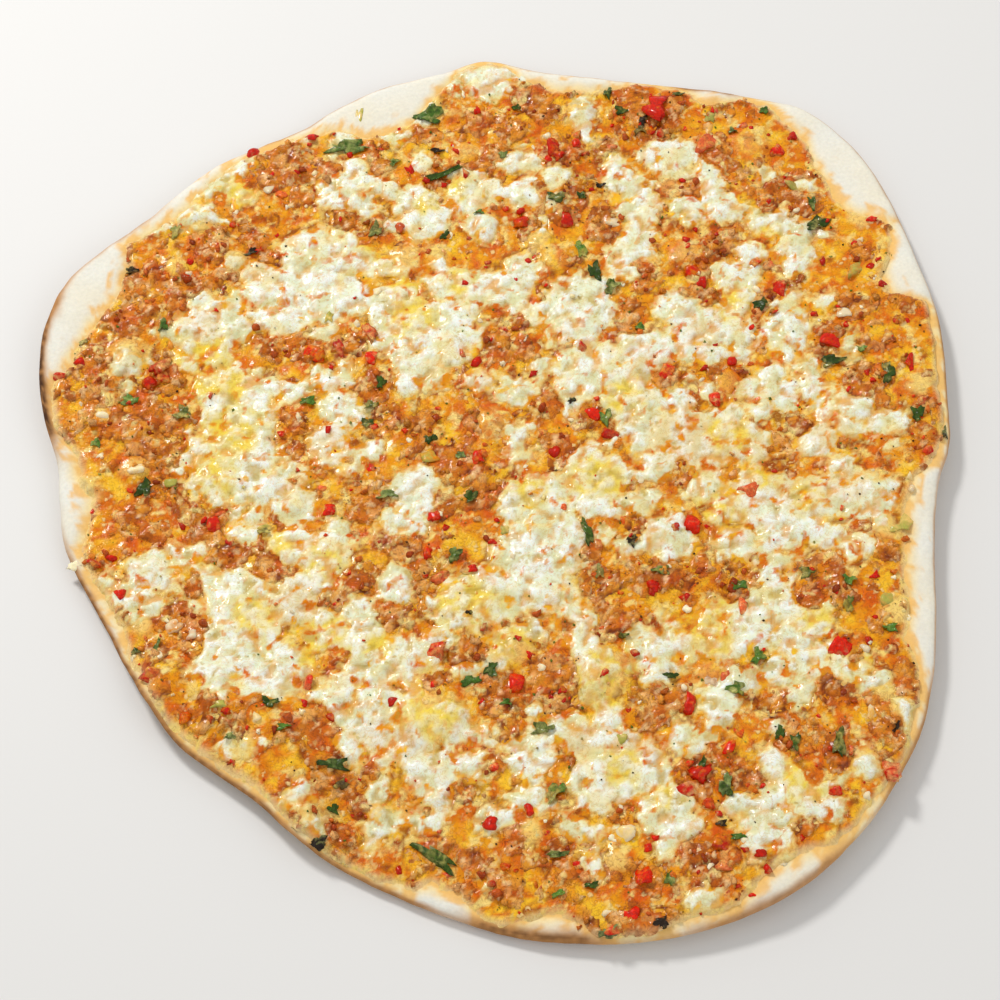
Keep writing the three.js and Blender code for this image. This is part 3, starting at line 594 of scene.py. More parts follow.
# Cheese lies in pools: [x, y, half width, half height].
POOLS = [
    (1, 141, 13, 9), (31, 124, 4, 7), (-47, 131, 5, 4), (-62, 118, 4, 3), (-43, 105, 6, 5),
    (-45, 98, 11, 9), (-23, 108, 3, 4), (12, 107, 8, 4), (-5, 98, 10, 9), (11, 96, 6, 6), (22, 101, 6, 5),
    (59, 109, 10, 8), (42, 100, 5, 12), (48, 92, 7, 9), (72, 100, 5, 12), (74, 87, 9, 7), (63, 88, 8, 6),
    (90, 101, 3, 3), (-22, 88, 9, 10), (-2, 83, 5, 5), (-90, 88, 4, 7), (16, 88, 4, 6), (92, 82, 8, 7),
    (-55, 72, 14, 11), (-65, 62, 16, 11), (-50, 58, 13, 11), (-85, 48, 12, 11), (-66, 50, 11, 7),
    (-80, 71, 3, 5), (-35, 68, 7, 5), (45, 72, 7, 10), (97, 73, 6, 10), (75, 62, 6, 8), (77, 54, 6, 11),
    (60, 50, 9, 9), (10, 66, 7, 5), (0, 60, 12, 6), (28, 50, 12, 13), (-22, 45, 14, 11), (-15, 40, 11, 10),
    (-30, 55, 8, 8), (10, 52, 5, 8), (90, 42, 8, 13), (62, 44, 9, 8), (72, 44, 10, 10), (36, 30, 17, 10),
    (43, 18, 11, 10), (-24, 30, 7, 8), (-112, 31, 6, 4), (-92, 38, 5, 6), (-83, 24, 7, 15),
    (-74, 14, 9, 13), (-75, 0, 13, 9), (-48, 27, 9, 5), (-46, 18, 6, 8), (-50, 8, 6, 5), (-74, 24, 8, 7),
    (8, 22, 5, 6), (8, 8, 4, 10), (97, 22, 3, 5), (85, 20, 8, 8), (50, 8, 12, 9), (65, 5, 14, 10),
    (75, 2, 10, 8), (60, 18, 7, 6), (106, 12, 9, 6), (118, 7, 5, 4), (97, 1, 7, 7), (-90, 0, 5, 8),
    (-80, -6, 13, 9), (-66, -8, 11, 8), (-60, -16, 7, 8), (30, -8, 10, 10), (12, -17, 11, 10),
    (15, -30, 13, 13), (12, -45, 13, 9), (-4, -46, 9, 9), (-12, -49, 11, 8), (25, -58, 4, 7),
    (-22, -12, 9, 8), (80, -12, 9, 8), (84, -24, 12, 10), (95, -16, 12, 9), (109, -20, 8, 9),
    (103, -8, 8, 5), (98, -30, 8, 4), (50, -28, 8, 8), (45, -17, 7, 6), (72, -30, 7, 6), (-100, -36, 8, 7),
    (-111, -43, 4, 4), (-88, -30, 5, 5), (-75, -46, 13, 11), (-60, -46, 9, 10), (-50, -31, 9, 12),
    (-30, -43, 6, 6), (-75, -60, 13, 12), (-63, -67, 10, 7), (-38, -60, 7, 15), (-26, -66, 9, 8),
    (-35, -84, 8, 12), (-42, -92, 4, 6), (-25, -89, 7, 10), (-15, -86, 7, 6), (0, -64, 5, 6),
    (75, -55, 12, 7), (86, -60, 10, 7), (96, -68, 5, 8), (80, -46, 6, 12), (60, -62, 14, 7),
    (45, -61, 9, 6), (90, -70, 7, 6), (85, -80, 4, 8), (28, -73, 6, 11), (30, -86, 4, 6), (34, -96, 9, 8),
    (8, -95, 7, 8), (12, -83, 6, 3), (22, -91, 5, 8), (8, -109, 5, 3), (28, -104, 10, 9), (41, -102, 8, 8),
    (45, -112, 8, 7), (50, -117, 6, 4), (-20, -102, 8, 8), (-8, -98, 5, 6), (-32, -114, 4, 4),
    (80, -110, 9, 8), (72, -117, 7, 6), (89, -114, 7, 4), (100, -101, 4, 3), (76, -99, 4, 3),
    (62, -86, 4, 5), (113, -87, 3, 5), (108, -78, 4, 4), (55, -95, 5, 4), (62, -80, 6, 5), (75, -62, 9, 5),
    (12, -35, 12, 10), (-8, -89, 7, 3), (-30, -95, 4, 4), (60, 8, 12, 8), (48, -5, 8, 6), (-45, 0, 7, 5),
    (-36, 98, 5, 5), (64, 101, 5, 4), (30, 60, 8, 5), (44, 38, 10, 5), (-62, -30, 5, 8), (-100, -48, 5, 5),
    (-48, -55, 8, 7), (-13, 62, 9, 8), (82, 70, 5, 5), (-96, 46, 6, 8), (-28, -22, 7, 6), (30, -18, 6, 6),
    (52, -32, 6, 5), (106, -33, 5, 7), (-65, -75, 8, 5), (-82, -68, 6, 5), (-45, -78, 5, 10),
    (15, -88, 5, 5), (10, -57, 5, 5), (70, -75, 6, 4), (-19, -114, 4, 3), (21, -117, 5, 3),
    (-1, -114, 4, 3), (45, -124, 4, 3), (44, -72, 7, 4), (50, -91, 5, 4), (-55, -105, 4, 5),
    (-89, 97, 5, 4), (57, 36, 8, 4), (110, 33, 4, 4), (38, 69, 4, 4), (-16, -15, 4, 4), (-35, -106, 4, 4),
    (53, -137, 5, 4), (25, -128, 3, 3), (-4, -133, 3, 2), (64, -112, 4, 3), (78, -90, 3, 3),
    (103, -72, 3, 4), (-70, -92, 5, 2.5), (-104, -46, 4, 3), (106, 50, 3, 3), (100, 96, 3, 3),
    (25, 20, 6, 8), (-112, 26, 3, 3), (-93, 86, 5, 5), (-35, -118, 2.5, 3), (-31, -124, 2, 3),
    (-58, 25, 5, 4), (107, 5, 5, 4), (117, 4, 7, 5), (-52, 44, 5, 4), (70, 34, 5, 5), (-75, -25, 4, 3),
    (40, -31, 4, 4), (-50, -116, 3, 3), (-29, -28, 4, 4), (76, 33, 4, 3), (-9, 138, 5, 4), (6, 135, 6, 5),
    (-36, 1, 4, 4), (-54, -20, 6, 5), (22, 91, 4, 4), (-30, 85, 4, 3), (-106, 82, 4, 3), (-92, -43, 4, 3),
    (14, 29, 4, 4), (82, 13, 5, 5), (-19, 130, 6, 4), (-47, 115, 4, 5), (32, -26, 4, 4), (70, -123, 6, 5),
    (-9, -69, 3, 3), (-5, 26, 4, 4), (-38, 90, 4, 4), (-21, 124, 4, 4), (-72, -19, 4, 3), (52, 32, 5, 5),
    (77, -73, 4, 4), (-17, 28, 5, 5), (-29, 118, 3, 3), (-78, -72, 6, 6), (-62, -74, 6, 4),
    (-54, -107, 2.5, 4), (-16, -59, 4, 3), (-88, 103, 8, 5), (-80, 106, 6, 5), (-82, 97, 7, 5),
    (-94, 97, 5, 4), (96, -52, 4, 6), (62, -12, 6, 6), (70, -20, 7, 6), (-42, 74, 7, 8), (-12, 50, 8, 8),
]
# Yellow oil stands in the hollows of the cheese: [x, y, radius].
OIL_POOLS = [
    (-87, 32, 11), (-80, 10, 9), (-84, -4, 7), (30, -8, 8), (-9, -47, 9), (40, 20, 6), (-24, 50, 7),
    (10, -12, 5), (-70, -52, 6), (70, 5, 6), (-34, -62, 5), (-10, 98, 4), (-80, 26, 6), (75, 53, 7),
    (-5, 35, 5), (60, -57, 9), (-50, -60, 8), (-35, 75, 6), (-10, 62, 5), (-80, 97, 5), (66, -20, 7),
    (83, -107, 6), (90, -56, 5), (80, -8, 6), (-64, -29, 5), (40, 110, 4), (-27, 61, 5), (105, -68, 5),
    (-18, -80, 9), (31, -72, 9), (4, -62, 6), (-50, -35, 6), (88, 76, 5), (34, -100, 5), (-20, 92, 4),
    (92, -16, 5), (45, -110, 4),
]


# Here the cheese is only a tan film: [x, y, radius].
THIN_CHEESE = [
    (58, 4, 12), (75, -4, 12), (92, -14, 10), (100, 5, 8), (70, -24, 8), (-48, 5, 8), (-52, -8, 8),
    (-58, -48, 9), (-30, -90, 9), (-5, 26, 7), (60, -62, 9), (-72, 70, 8), (-90, 48, 6), (40, -92, 8),
    (105, -15, 6), (22, -92, 5), (48, 28, 7), (-18, -68, 6), (65, 40, 6), (20, 62, 6), (-30, 66, 6),
]


def pool_depth(x, y):
    """Distance in millimetres to the edge of the cheese, positive inside, before meat opens it."""
    best = np.full(np.shape(x), -9.0)
    for pool_x, pool_y, half_w, half_h in POOLS:
        away = np.hypot((x - pool_x) / half_w, (y - pool_y) / half_h)
        best = np.maximum(best, (1 - away) * min(half_w, half_h))
    return best


def opening_depth(x, y):
    """Distance to the edge of the heaps and oil that hold the cheese open, positive inside."""
    best = np.full(np.shape(x), -9.0)
    for spot_x, spot_y, radius in MEAT + OILY:
        best = np.maximum(best, radius - np.hypot(x - spot_x, y - spot_y))
    return best


def cheese_depth(x, y):
    """Distance to the cheese's ragged edge, positive inside. It runs over the bare rim in two places."""
    ragged = 10.0 * (torn(x, y, 6.5, 511, 2) - 0.5) + 5.0 * (torn(x, y, 3.0, 521, 2) - 0.5)
    opened = np.maximum(opening_depth(x, y) + 0.5, 0)
    over_rim = ease(y, 128, 134) * ease(-np.abs(x - 1), -16, -11)
    over_rim = np.maximum(over_rim, ease(-np.hypot(x + 86, y - 101), -15, -10))
    inside_rim = from_edge(x, y) - 2.5 - np.maximum(bare_depth(x, y) - 3, 0) * (1 - over_rim)
    return np.minimum(np.maximum(pool_depth(x, y), -4.5) + 1.3 - 0.8 * opened + ragged, inside_rim)


def cheese_share(x, y):
    """How much of the surface shows cheese: flecks near it, a torn veil at its edge, then all."""
    depth = cheese_depth(x, y)
    patchy = torn(x, y, 3.4, 525, 2)
    share = 0.4 * ease(depth, -6.5, -0.5) + 0.6 * ease(depth, -0.5, 3.6)
    share = share - 0.14 * ease(nearest_spot(x, y, THIN_CHEESE, 1.2), 0.0, 0.5)
    share = share + 0.48 * ease(patchy, 0.55, 0.73) * ease(-depth, 0, 2)
    return share - 0.55 * ease(0.43 - patchy, 0, 0.15)


def browned_and_shaded_border(x, y):
    """1 where the sauce is darkened next to the edge of the cheese: browned there, and painted shade in the
    crease at the cheese's edge.
    """
    depth = cheese_depth(x, y)
    beside = ease(depth, -2.4, -1.0) * (1 - ease(depth, -0.4, 0.8))
    return beside * ease(torn(x, y, 5, 535, 2), 0.44, 0.6)


def spread_paints(x, y):
    crease_shade = (0.35 + 0.5 * meat_heaps(x, y)) * sauce_cover(x, y)
    veil = tinted(all_over(CHEESE_VEIL, x), SAUCE_GOLD, 0.6 * cloud(x, y, 4, 495, 2))
    return [paint(sauce_colour(x, y), crease_shade), paint(veil, cheese_share(x, y))]


INSET_LIMIT = 1.2  # the spread, the meat and the cheese end at least this far inside the rim


def closed_relief(name, step, block, wanted, top, bottom, paints_at, material):
    """A closed sheet on a square grid, with fine cells above and blocks of cells below. Blocks are
    kept where any of their places is wanted; the sheet's edge dips under what it lies on."""
    half_x, half_y = 141, 152  # millimetres, a little more than the bread's own
    across, along = int(2 * half_x / (step * block)), int(2 * half_y / (step * block))
    line_x = -half_x + step * np.arange(across * block + 1)
    line_y = -half_y + step * np.arange(along * block + 1)
    x, y = np.meshgrid(line_x, line_y, indexing="ij")
    pulled = np.minimum(1, (rim_reach(x, y) - INSET_LIMIT) / np.maximum(np.hypot(x, y), 1))
    is_wanted = wanted(x, y)
    cells = is_wanted[:-1, :-1] | is_wanted[1:, :-1] | is_wanted[:-1, 1:] | is_wanted[1:, 1:]
    kept = cells.reshape(across, block, along, block).any(axis=(1, 3))
    kept[[0, -1], :] = kept[:, [0, -1]] = False
    for _ in range(3):  # blocks that touch only at a corner get a block between them
        kept[1:, 1:] |= kept[:-1, 1:] & kept[1:, :-1] & ~kept[:-1, :-1]
        kept[1:, :-1] |= kept[:-1, :-1] & kept[1:, 1:] & ~kept[:-1, 1:]
    x, y = x * pulled, y * pulled
    fine_index = np.arange(x.size).reshape(x.shape)
    coarse_index = x.size + np.arange((across + 1) * (along + 1)).reshape(across + 1, along + 1)
    fine_kept = np.repeat(np.repeat(kept, block, 0), block, 1)
    i, j = np.nonzero(fine_kept)
    faces = np.column_stack([
        fine_index[i, j], fine_index[i + 1, j], fine_index[i + 1, j + 1], fine_index[i, j + 1]
    ]).tolist()
    i, j = np.nonzero(kept)
    faces += np.column_stack([
        coarse_index[i, j], coarse_index[i, j + 1], coarse_index[i + 1, j + 1], coarse_index[i + 1, j]
    ]).tolist()
    steps = np.arange(block + 1)
    for di, dj in ((1, 0), (-1, 0), (0, 1), (0, -1)):
        neighbour = np.roll(kept, (-di, -dj), (0, 1))
        for a, b in zip(*np.nonzero(kept & ~neighbour)):
            if di:
                row = a + (di > 0)
                upper = fine_index[row * block, b * block + steps].tolist()
                lower = [coarse_index[row, b], coarse_index[row, b + 1]]
            else:
                column = b + (dj > 0)
                upper = fine_index[a * block + steps, column * block].tolist()
                lower = [coarse_index[a, column], coarse_index[a + 1, column]]
            wall = upper + lower[::-1]
            faces.append(wall[::-1] if (di > 0 or dj < 0) else wall)
    flat_x, flat_y = x.ravel(), y.ravel()
    coarse_x, coarse_y = x[::block, ::block].ravel(), y[::block, ::block].ravel()
    used = np.zeros(x.size + coarse_x.size, bool)
    used[np.concatenate([np.array(face) for face in faces])] = True
    where = used[:x.size]
    height = np.zeros(x.size)
    height[where] = top(flat_x[where], flat_y[where])
    low = np.zeros(coarse_x.size)
    where_low = used[x.size:]
    low[where_low] = bottom(coarse_x[where_low], coarse_y[where_low])
    points = np.concatenate([
        np.column_stack([flat_x, flat_y, height]), np.column_stack([coarse_x, coarse_y, low])
    ])[used]
    renumber = np.cumsum(used) - 1
    faces = [renumber[np.array(face)].tolist() for face in faces]
    return new_piece(name, points, faces, paints_at(points[:, 0], points[:, 1]), material)


spread = closed_relief(
    "meat_and_pepper_spread",
    step=0.92,
    block=4,
    wanted=lambda x, y: (sauce_cover(x, y) > 0.02) & (from_edge(x, y) > INSET_LIMIT),
    top=spread_top,
    bottom=lambda x, y: dough_top(x, y) - 1.5,
    paints_at=spread_paints,
    material=food_material(
        "oily_meat_spread",
        roughness=(0.1, 0.34), scatter=0.06, grain=0.9, grain_height=0.24, mottling=0.1,
        crease_shade=SAUCE_CREASE_SHADE, fleck=SAUCE_FLECK,
    ),
)
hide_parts("meat_spread")

# ------------------------------------------------------------------------------------------
# The crumbled meat. Minced meat that the heat shrank into grains of 2 to 3 mm, stuck together
# by the sauce in crusts and heaps, with loose grains lying on them.
# ------------------------------------------------------------------------------------------
CRUMB = 3.7
CRUMB_TINTS = [(220, 130, 36), (236, 172, 100), (208, 104, 22), (166, 62, 6), (226, 146, 50), (200, 88, 24)]
# Painted shade for the creases between the meat grains and for their crease lines.
CRUMB_CREASE_SHADE = (104, 32, 0)
CRUMB_BROWNED = (172, 84, 8)
CRUMB_FAT_AND_HIGHLIGHT = (246, 208, 150)
GRAIN_COUNT = 420
GRAIN_TRIES = 26000
GRAIN_SIZE = 0.9  # half a middling grain's length
ROOF = 12.85  # nothing on the bread reaches higher over the table
crumb_tints = np.array([pigment(rgb) for rgb in CRUMB_TINTS])


def under_roof(height):
    return np.where(height > ROOF - 1, ROOF - np.exp(-(height - ROOF + 1)), height)


def carried_at(x, y):
    """The top of the cheese or of the spread, whichever is higher: what loose toppings lie on."""
    return np.maximum(np.maximum(spread_top(x, y), crumb_top(x, y)), cheese_top(x, y))


def cheese_base(x, y):
    cover = sauce_cover(x, y)
    bed = dough_top(x, y) - 0.5 + cover * (0.5 + SPREAD + 1.2 * (cloud(x, y, 15, 431, 2) - 0.5))
    return bed + cover * (0.35 * meat_heaps(x, y) + blister_height(x, y))


def oil_holes(x, y):
    """1 in the small holes where oil bubbled through the cheese, 0 between them."""
    return ease(cloud(x, y, 3.8, 531) * 0.7 + 0.3 * cloud(x, y, 1.7, 541), 0.60, 0.74)


def cheese_top(x, y):
    depth = cheese_depth(x, y)
    body = 0.12 + 0.7 * ease(depth, 0.0, 4.5) + 0.5 * ease(depth, 3.5, 8)
    domes = 0.6 * lumps(x, y, 4.8, 551) + 0.3 * lumps(x, y, 2.2, 561)
    domes = domes + 0.8 * cloud(x, y, 3.4, 565, 2) - 0.95
    puffed = body + ease(depth, 0, 3) * domes - 0.7 * oil_holes(x, y) * ease(depth, 0.5, 2)
    dip = 1.4 * ease(-depth, 0.2, 2.6)
    return under_roof(cheese_base(x, y) + puffed - dip)


def crumb_grains(x, y):
    """Each place's distance to its grain's middle, the grain's number, and 1 where it has a grain."""
    shifted_x = x + 3.2 * (cloud(x, y, 2.8, 611, 2) - 0.5)
    shifted_y = y + 3.2 * (cloud(x, y, 2.8, 613, 2) - 0.5)
    away, number = crumbs(shifted_x, shifted_y, CRUMB, 621)
    uncovered = 1 - 0.95 * ease(cheese_depth(x, y), 0.0, 2.5)
    share = sauce_cover(x, y) * (0.06 + 1.02 * meat_heaps(x, y)) * uncovered
    return away, number, ease(share - number, -0.06, 0.06)


def crumb_top(x, y):
    away, number, present = crumb_grains(x, y)
    dome = np.clip(1 - (away / 0.85) ** 2, 0, 1) ** 0.7
    rough = 0.6 * (cloud(x, y, 1.4, 631, 2) - 0.5) + 0.3 * (lumps(x, y, 1.8, 633) - 0.6)
    clump = 0.9 * (lumps(x, y, 7.5, 635) - 0.6)
    raised = 0.55 + 0.7 * (7.3 * number % 1) * dome + 0.5 * dome + rough + clump
    return under_roof(spread_top(x, y) - 0.75 + present * raised)


def crumb_paints(x, y):
    away, number, _ = crumb_grains(x, y)
    tint = crumb_tints[(number * 997).astype(int) % len(crumb_tints)]
    colour = layered(0.6 * tint + 0.4 * sauce_colour(x, y), [
        (CRUMB_BROWNED, 0.8 * ease(torn(x, y, 4.5, 641, 2), 0.55, 0.72)),
        # pale fat on the grains' middles, partly a painted highlight on their tops
        (CRUMB_FAT_AND_HIGHLIGHT, 0.65 * ease(torn(x, y, 2.2, 651, 2), 0.57, 0.72) * (away < 0.6)),
        # painted shade in the creases between the grains
        (CRUMB_CREASE_SHADE, 0.85 * ease(away + 0.3 * (cloud(x, y, 1.5, 653) - 0.5), 0.55, 0.85)),
    ])
    return [paint(colour, 0.45), paint(all_over(CHEESE_VEIL, x), 0.8 * cheese_share(x, y))]


def blob_shape(cuts, squareness):
    """A unit ball, or with more squareness a rounded box, from a cube with each face cut into squares."""
    points, faces = [], []
    steps = np.linspace(-1, 1, cuts + 1)
    for axis in range(3):
        for side in (-1, 1):
            a, b = (axis + 1) % 3, (axis + 2) % 3
            for u0, u1 in zip(steps[:-1], steps[1:]):
                for v0, v1 in zip(steps[:-1], steps[1:]):
                    quad = []
                    for u, v in ((u0, v0), (u1, v0), (u1, v1), (u0, v1)):
                        point = [0.0, 0.0, 0.0]
                        point[axis], point[a], point[b] = side, u, v
                        quad.append(point)
                    points += quad if side > 0 else quad[::-1]
    points = np.array(points)
    unique, index = np.unique(points.round(6), axis=0, return_inverse=True)
    warped = np.tan(unique * np.pi / 4)
    size = (np.abs(warped) ** squareness).sum(1) ** (1 / squareness)
    return warped / size[:, None], index.reshape(-1, 4)


def blobs(draw, x, y, half_sizes, turn, sink, cuts, squareness, unevenness, bend=0.0):
    """Points, faces and each point's piece for many rounded pieces lying on the bread. sink is the
    share of a piece's half height that its middle lies over the surface."""
    shape, quads = blob_shape(cuts, squareness)
    count = len(x)
    waves = draw.normal(size=(count, 3, 3)) * 1.9
    phase = draw.random((count, 1, 3)) * 2 * np.pi
    taper = draw.uniform(-1.8, 1.8, (count, 1)) * unevenness
    swell = 1 + unevenness * np.sin(np.einsum("mk,nkw->nmw", shape, waves) + phase).sum(2)
    local = shape[None] * swell[..., None] * half_sizes[:, None, :]
    local[..., 0] *= 1 + taper * shape[None, :, 1]
    local[..., 2] += bend * half_sizes[:, None, 2] * (0.5 - (local[..., 0] / half_sizes[:, None, 0]) ** 2)
    tilt = draw.normal(size=(count, 2)) * 0.18
    local[..., 2] += local[..., 0] * tilt[:, :1] + local[..., 1] * tilt[:, 1:]
    cos, sin = np.cos(turn)[:, None], np.sin(turn)[:, None]
    lie_x = x[:, None] + cos * local[..., 0] - sin * local[..., 1]
    lie_y = y[:, None] + sin * local[..., 0] + cos * local[..., 1]
    rest = carried_at(x, y) + sink * half_sizes[:, 2]
    points = np.stack([lie_x, lie_y, under_roof(rest[:, None] + local[..., 2])], axis=2).reshape(-1, 3)
    faces = (quads[None] + len(shape) * np.arange(count)[:, None, None]).reshape(-1, 4)
    return points, faces.tolist(), np.repeat(np.arange(count), len(shape))


def scattered(draw, tries, likelihood, most):
    """Random places on the bread, each kept with the likelihood there, up to the most that are wanted."""
    x, y = draw.uniform(-139, 139, tries), draw.uniform(-150, 150, tries)
    kept = (from_edge(x, y) > 3) & (draw.random(tries) < likelihood(x, y))
    return x[kept][:most], y[kept][:most]


meat_finish = food_material(
    "browned_mince",
    roughness=(0.12, 0.34), scatter=0.05, grain=0.9, grain_height=0.24, mottling=0.12, crease_shade=CRUMB_CREASE_SHADE,
)
crust = closed_relief(
    "crumbled_meat",
    step=0.65,
    block=3,
    wanted=lambda x, y: (crumb_grains(x, y)[2] > 0.3) & (from_edge(x, y) > INSET_LIMIT + 1),
    top=crumb_top,
    bottom=lambda x, y: spread_top(x, y) - 1.6,
    paints_at=crumb_paints,
    material=meat_finish,
)


def grain_likelihood(x, y):
    uncovered = 1 - 0.95 * ease(cheese_depth(x, y), -0.8, 0.8)
    return sauce_cover(x, y) * (0.05 + meat_heaps(x, y)) * uncovered


grain_draw = np.random.default_rng(71)
grain_x, grain_y = scattered(grain_draw, GRAIN_TRIES, grain_likelihood, GRAIN_COUNT)
grain_count = len(grain_x)
grain_half = GRAIN_SIZE * grain_draw.uniform(0.5, 1.3, (grain_count, 1))
grain_half = grain_half * grain_draw.uniform(0.7, 1.3, (grain_count, 3))
grain_turn = grain_draw.uniform(0, 6.3, grain_count)
grain_points, grain_faces, grain_of = blobs(
    grain_draw, grain_x, grain_y, grain_half, grain_turn, sink=-0.1, cuts=2, squareness=3.0, unevenness=0.2
)
grain_tints = crumb_tints[grain_draw.integers(0, len(crumb_tints), grain_count)]
grain_tints = grain_tints * grain_draw.uniform(0.7, 1.15, (grain_count, 1))
grain_paints = [paint(grain_tints[grain_of], 0.6)]
grains = new_piece("loose_meat_grains", grain_points, grain_faces, grain_paints, meat_finish)

# ------------------------------------------------------------------------------------------
# The cheese. Mild white cheese, grated and strewn over the meat, melted into pale pools that
# run together. It is thin and amber at its edges, and oil stands in its hollows.
# ------------------------------------------------------------------------------------------
CHEESE_PALE = (236, 240, 208)
CHEESE_HIGHLIGHT = (246, 250, 242)
CHEESE_CREAM = (244, 226, 154)
CHEESE_CLEAR = (220, 214, 154)
OIL_YELLOW = (244, 210, 36)
OIL_OLIVE = (196, 164, 60)
CHEESE_TAN = (236, 202, 146)
CHEESE_TOAST = (230, 164, 60)
# Golden tan for painted shade in the cheese's crease lines.
CHEESE_CREASE_SHADE = (214, 168, 70)


def cheese_paints(x, y):
    depth = cheese_depth(x, y) + 1.2 * (cloud(x, y, 3, 571, 2) - 0.5)
    crest = ease(0.6 * lumps(x, y, 4.8, 551) + 0.4 * lumps(x, y, 2.2, 561), 0.45, 0.88)
    thin = ease(nearest_spot(x, y, THIN_CHEESE, 1.2), 0.0, 0.5)
    oil = ease(nearest_spot(x, y, OIL_POOLS, 1.5) + 0.9 * (torn(x, y, 5, 591, 3) - 0.5), 0.0, 0.6)
    holes = oil_holes(x, y)
    olive = ease(cloud(x, y, 14, 595), 0.4, 0.7)
    colour = layered(all_over(CHEESE_VEIL, x), [
        (CHEESE_CREAM, ease(depth, 0.3, 2.0)),
        (CHEESE_PALE, ease(depth, 1.2, 3.6)),
        # painted highlight: whiter on the crests of the cheese's lumps
        (CHEESE_HIGHLIGHT, 0.9 * crest * ease(depth, 0.5, 2.5)),
        (CHEESE_CLEAR, 0.75 * ease(torn(x, y, 6, 577, 3), 0.5, 0.68)),
        (CHEESE_CREAM, 0.6 * ease(torn(x, y, 7, 581, 3), 0.52, 0.72)),
        (CHEESE_TAN, 0.5 * thin * (1 - 0.5 * crest)),
        (OIL_YELLOW, 0.85 * oil * (1 - 0.6 * crest)),
        (OIL_OLIVE, 0.7 * holes * olive),
        (CHEESE_TOAST, 0.8 * holes * (1 - olive)),
        (CHEESE_TOAST, 0.5 * ease(torn(x, y, 4, 597, 3), 0.6, 0.75)),
    ])
    return [paint(sauce_colour(x, y), 0.45), paint(colour, cheese_share(x, y))]


cheese = closed_relief(
    "melted_cheese",
    step=0.76,
    block=3,
    wanted=lambda x, y: cheese_depth(x, y) > -1.4,
    top=cheese_top,
    bottom=lambda x, y: cheese_base(x, y) - 1.6,
    paints_at=cheese_paints,
    material=food_material(
        "melted_white_cheese",
        roughness=(0.1, 0.32), scatter=0.25, grain=1.1, grain_height=0.16, mottling=0.04,
        crease_shade=CHEESE_CREASE_SHADE, pit=OIL_OLIVE,
    ),
)
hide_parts(*[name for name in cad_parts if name.startswith("melted_cheese")])

# ------------------------------------------------------------------------------------------
# The peppers and onion. Sweet red pepper cut in dice and slivers, a few slices of green
# pepper, and onion chopped small, all pressed into the spread or fallen on the cheese.
# ------------------------------------------------------------------------------------------
PEPPER_RED = (210, 30, 0)
PEPPER_PINK = (232, 104, 52)
# Dark red for painted shade in the pepper's crease lines.
PEPPER_CREASE_SHADE = (140, 16, 0)
ONION_WHITE = (246, 226, 186)
GREEN_FLESH = (170, 164, 74)

# Pieces of red pepper: [x, y, length, width, direction in degrees, height].
RED_PIECES = [
    (-102, 32, 6, 4, 10, 2.2), (-104, 26, 4, 4, 40, 2), (107.5, -104, 7, 6, 80, 2.6),
    (55, 128, 10, 7, 70, 3.0), (10, 84, 5, 4, 0, 2.2), (22, 112, 5, 5, 20, 2), (29, 113, 3, 3, 0, 1.8),
    (25, 85, 5, 4, 90, 2), (94, 110, 5, 4, 60, 1.8), (99, 115, 3, 3, 0, 1.6), (64, 64, 5, 4, 10, 2),
    (90, 57, 5, 4, 80, 2.2), (-76, 113, 4, 4, 30, 2), (-57, 118, 4, 3, 0, 1.8), (-130, 28, 5, 2, 5, 1.4),
    (-112, -33, 4, 2, 0, 1.6), (-109, -45, 3, 3, 0, 1.6), (-83, -21, 5, 3, 95, 2),
    (-55, 37, 8, 3.4, -25, 2), (-47, 40, 8, 3, -60, 2), (-38, 45, 8, 3, -62, 2.2), (-37, 35, 5, 4, 80, 2.2),
    (-49, -17, 4, 4, 0, 1.8), (-5, -1, 5.5, 5, 20, 2.6), (-18, -20, 4, 3, 10, 2), (-16, -40, 6, 3, 30, 2),
    (-20, -32, 4, 3, 80, 2), (31, 13, 5, 4, 15, 2), (18, 1, 4, 3, 80, 2), (38, -23, 3, 2, 90, 1.6),
    (36, 6, 6, 3, -20, 1.8), (28, 37, 3, 3, 0, 1.6), (104, 36, 7, 4, -10, 2.2), (127, 26, 7, 2.5, 80, 1.8),
    (54, 27, 5, 4, 80, 2), (67, 18, 4, 3, 90, 1.8), (74, 31, 3, 3, 0, 1.6), (58, -25, 5, 4, 80, 2),
    (53, -26, 3, 2, 90, 1.6), (-18, -64, 6, 5, 70, 2.4), (5, -75, 6, 4, 85, 2.4), (-3, -116, 4, 4, 0, 1.8),
    (-2, -99, 3, 3, 0, 1.6), (8, -112, 3, 3, 0, 1.6), (38, -132, 5, 5, 0, 2), (34, -143, 4, 4, 0, 1.6),
    (1, -128, 3, 3, 0, 1.6), (97, -66, 6, 4, 60, 2), (54, -81, 6, 3, 80, 2), (55, -103, 7, 5, 70, 2.4),
    (63, -96, 4, 4, 0, 2), (67, -91, 3, 3, 0, 1.8), (57, -112, 3, 3, 0, 1.6), (91, -110, 4, 2, 0, 1.4),
    (60, -124, 6, 5, -20, 2), (70, -127, 4, 2, 0, 1.4), (67, -138, 3, 2, 0, 1.2), (-88, -84, 3, 3, 0, 1.6),
    (-76, -83, 3, 2, 0, 1.4), (-54, -74, 5, 2.4, 80, 1.6), (-98, -72, 5, 4, -30, 1.8),
    (52, -108, 5, 4, 20, 2), (23, 109, 4, 3, 50, 1.8), (29, -146, 4, 3, 10, 1.6),
    (-117, -35, 4, 2, -20, 1.6), (66, 60, 4, 3, 80, 1.8), (98, -67, 6, 4, 60, 2.2), (-101, 28, 4, 3, 10, 2),
    (129, 12, 4, 2, 60, 1.6), (84, 67, 4, 3, 30, 1.8), (53, 118, 5, 3, 60, 1.8), (46, -45, 4, 4, 0, 2),
    (-7, -38, 3, 2, 0, 1.4), (-30, -79, 4, 3, 20, 1.6),
]
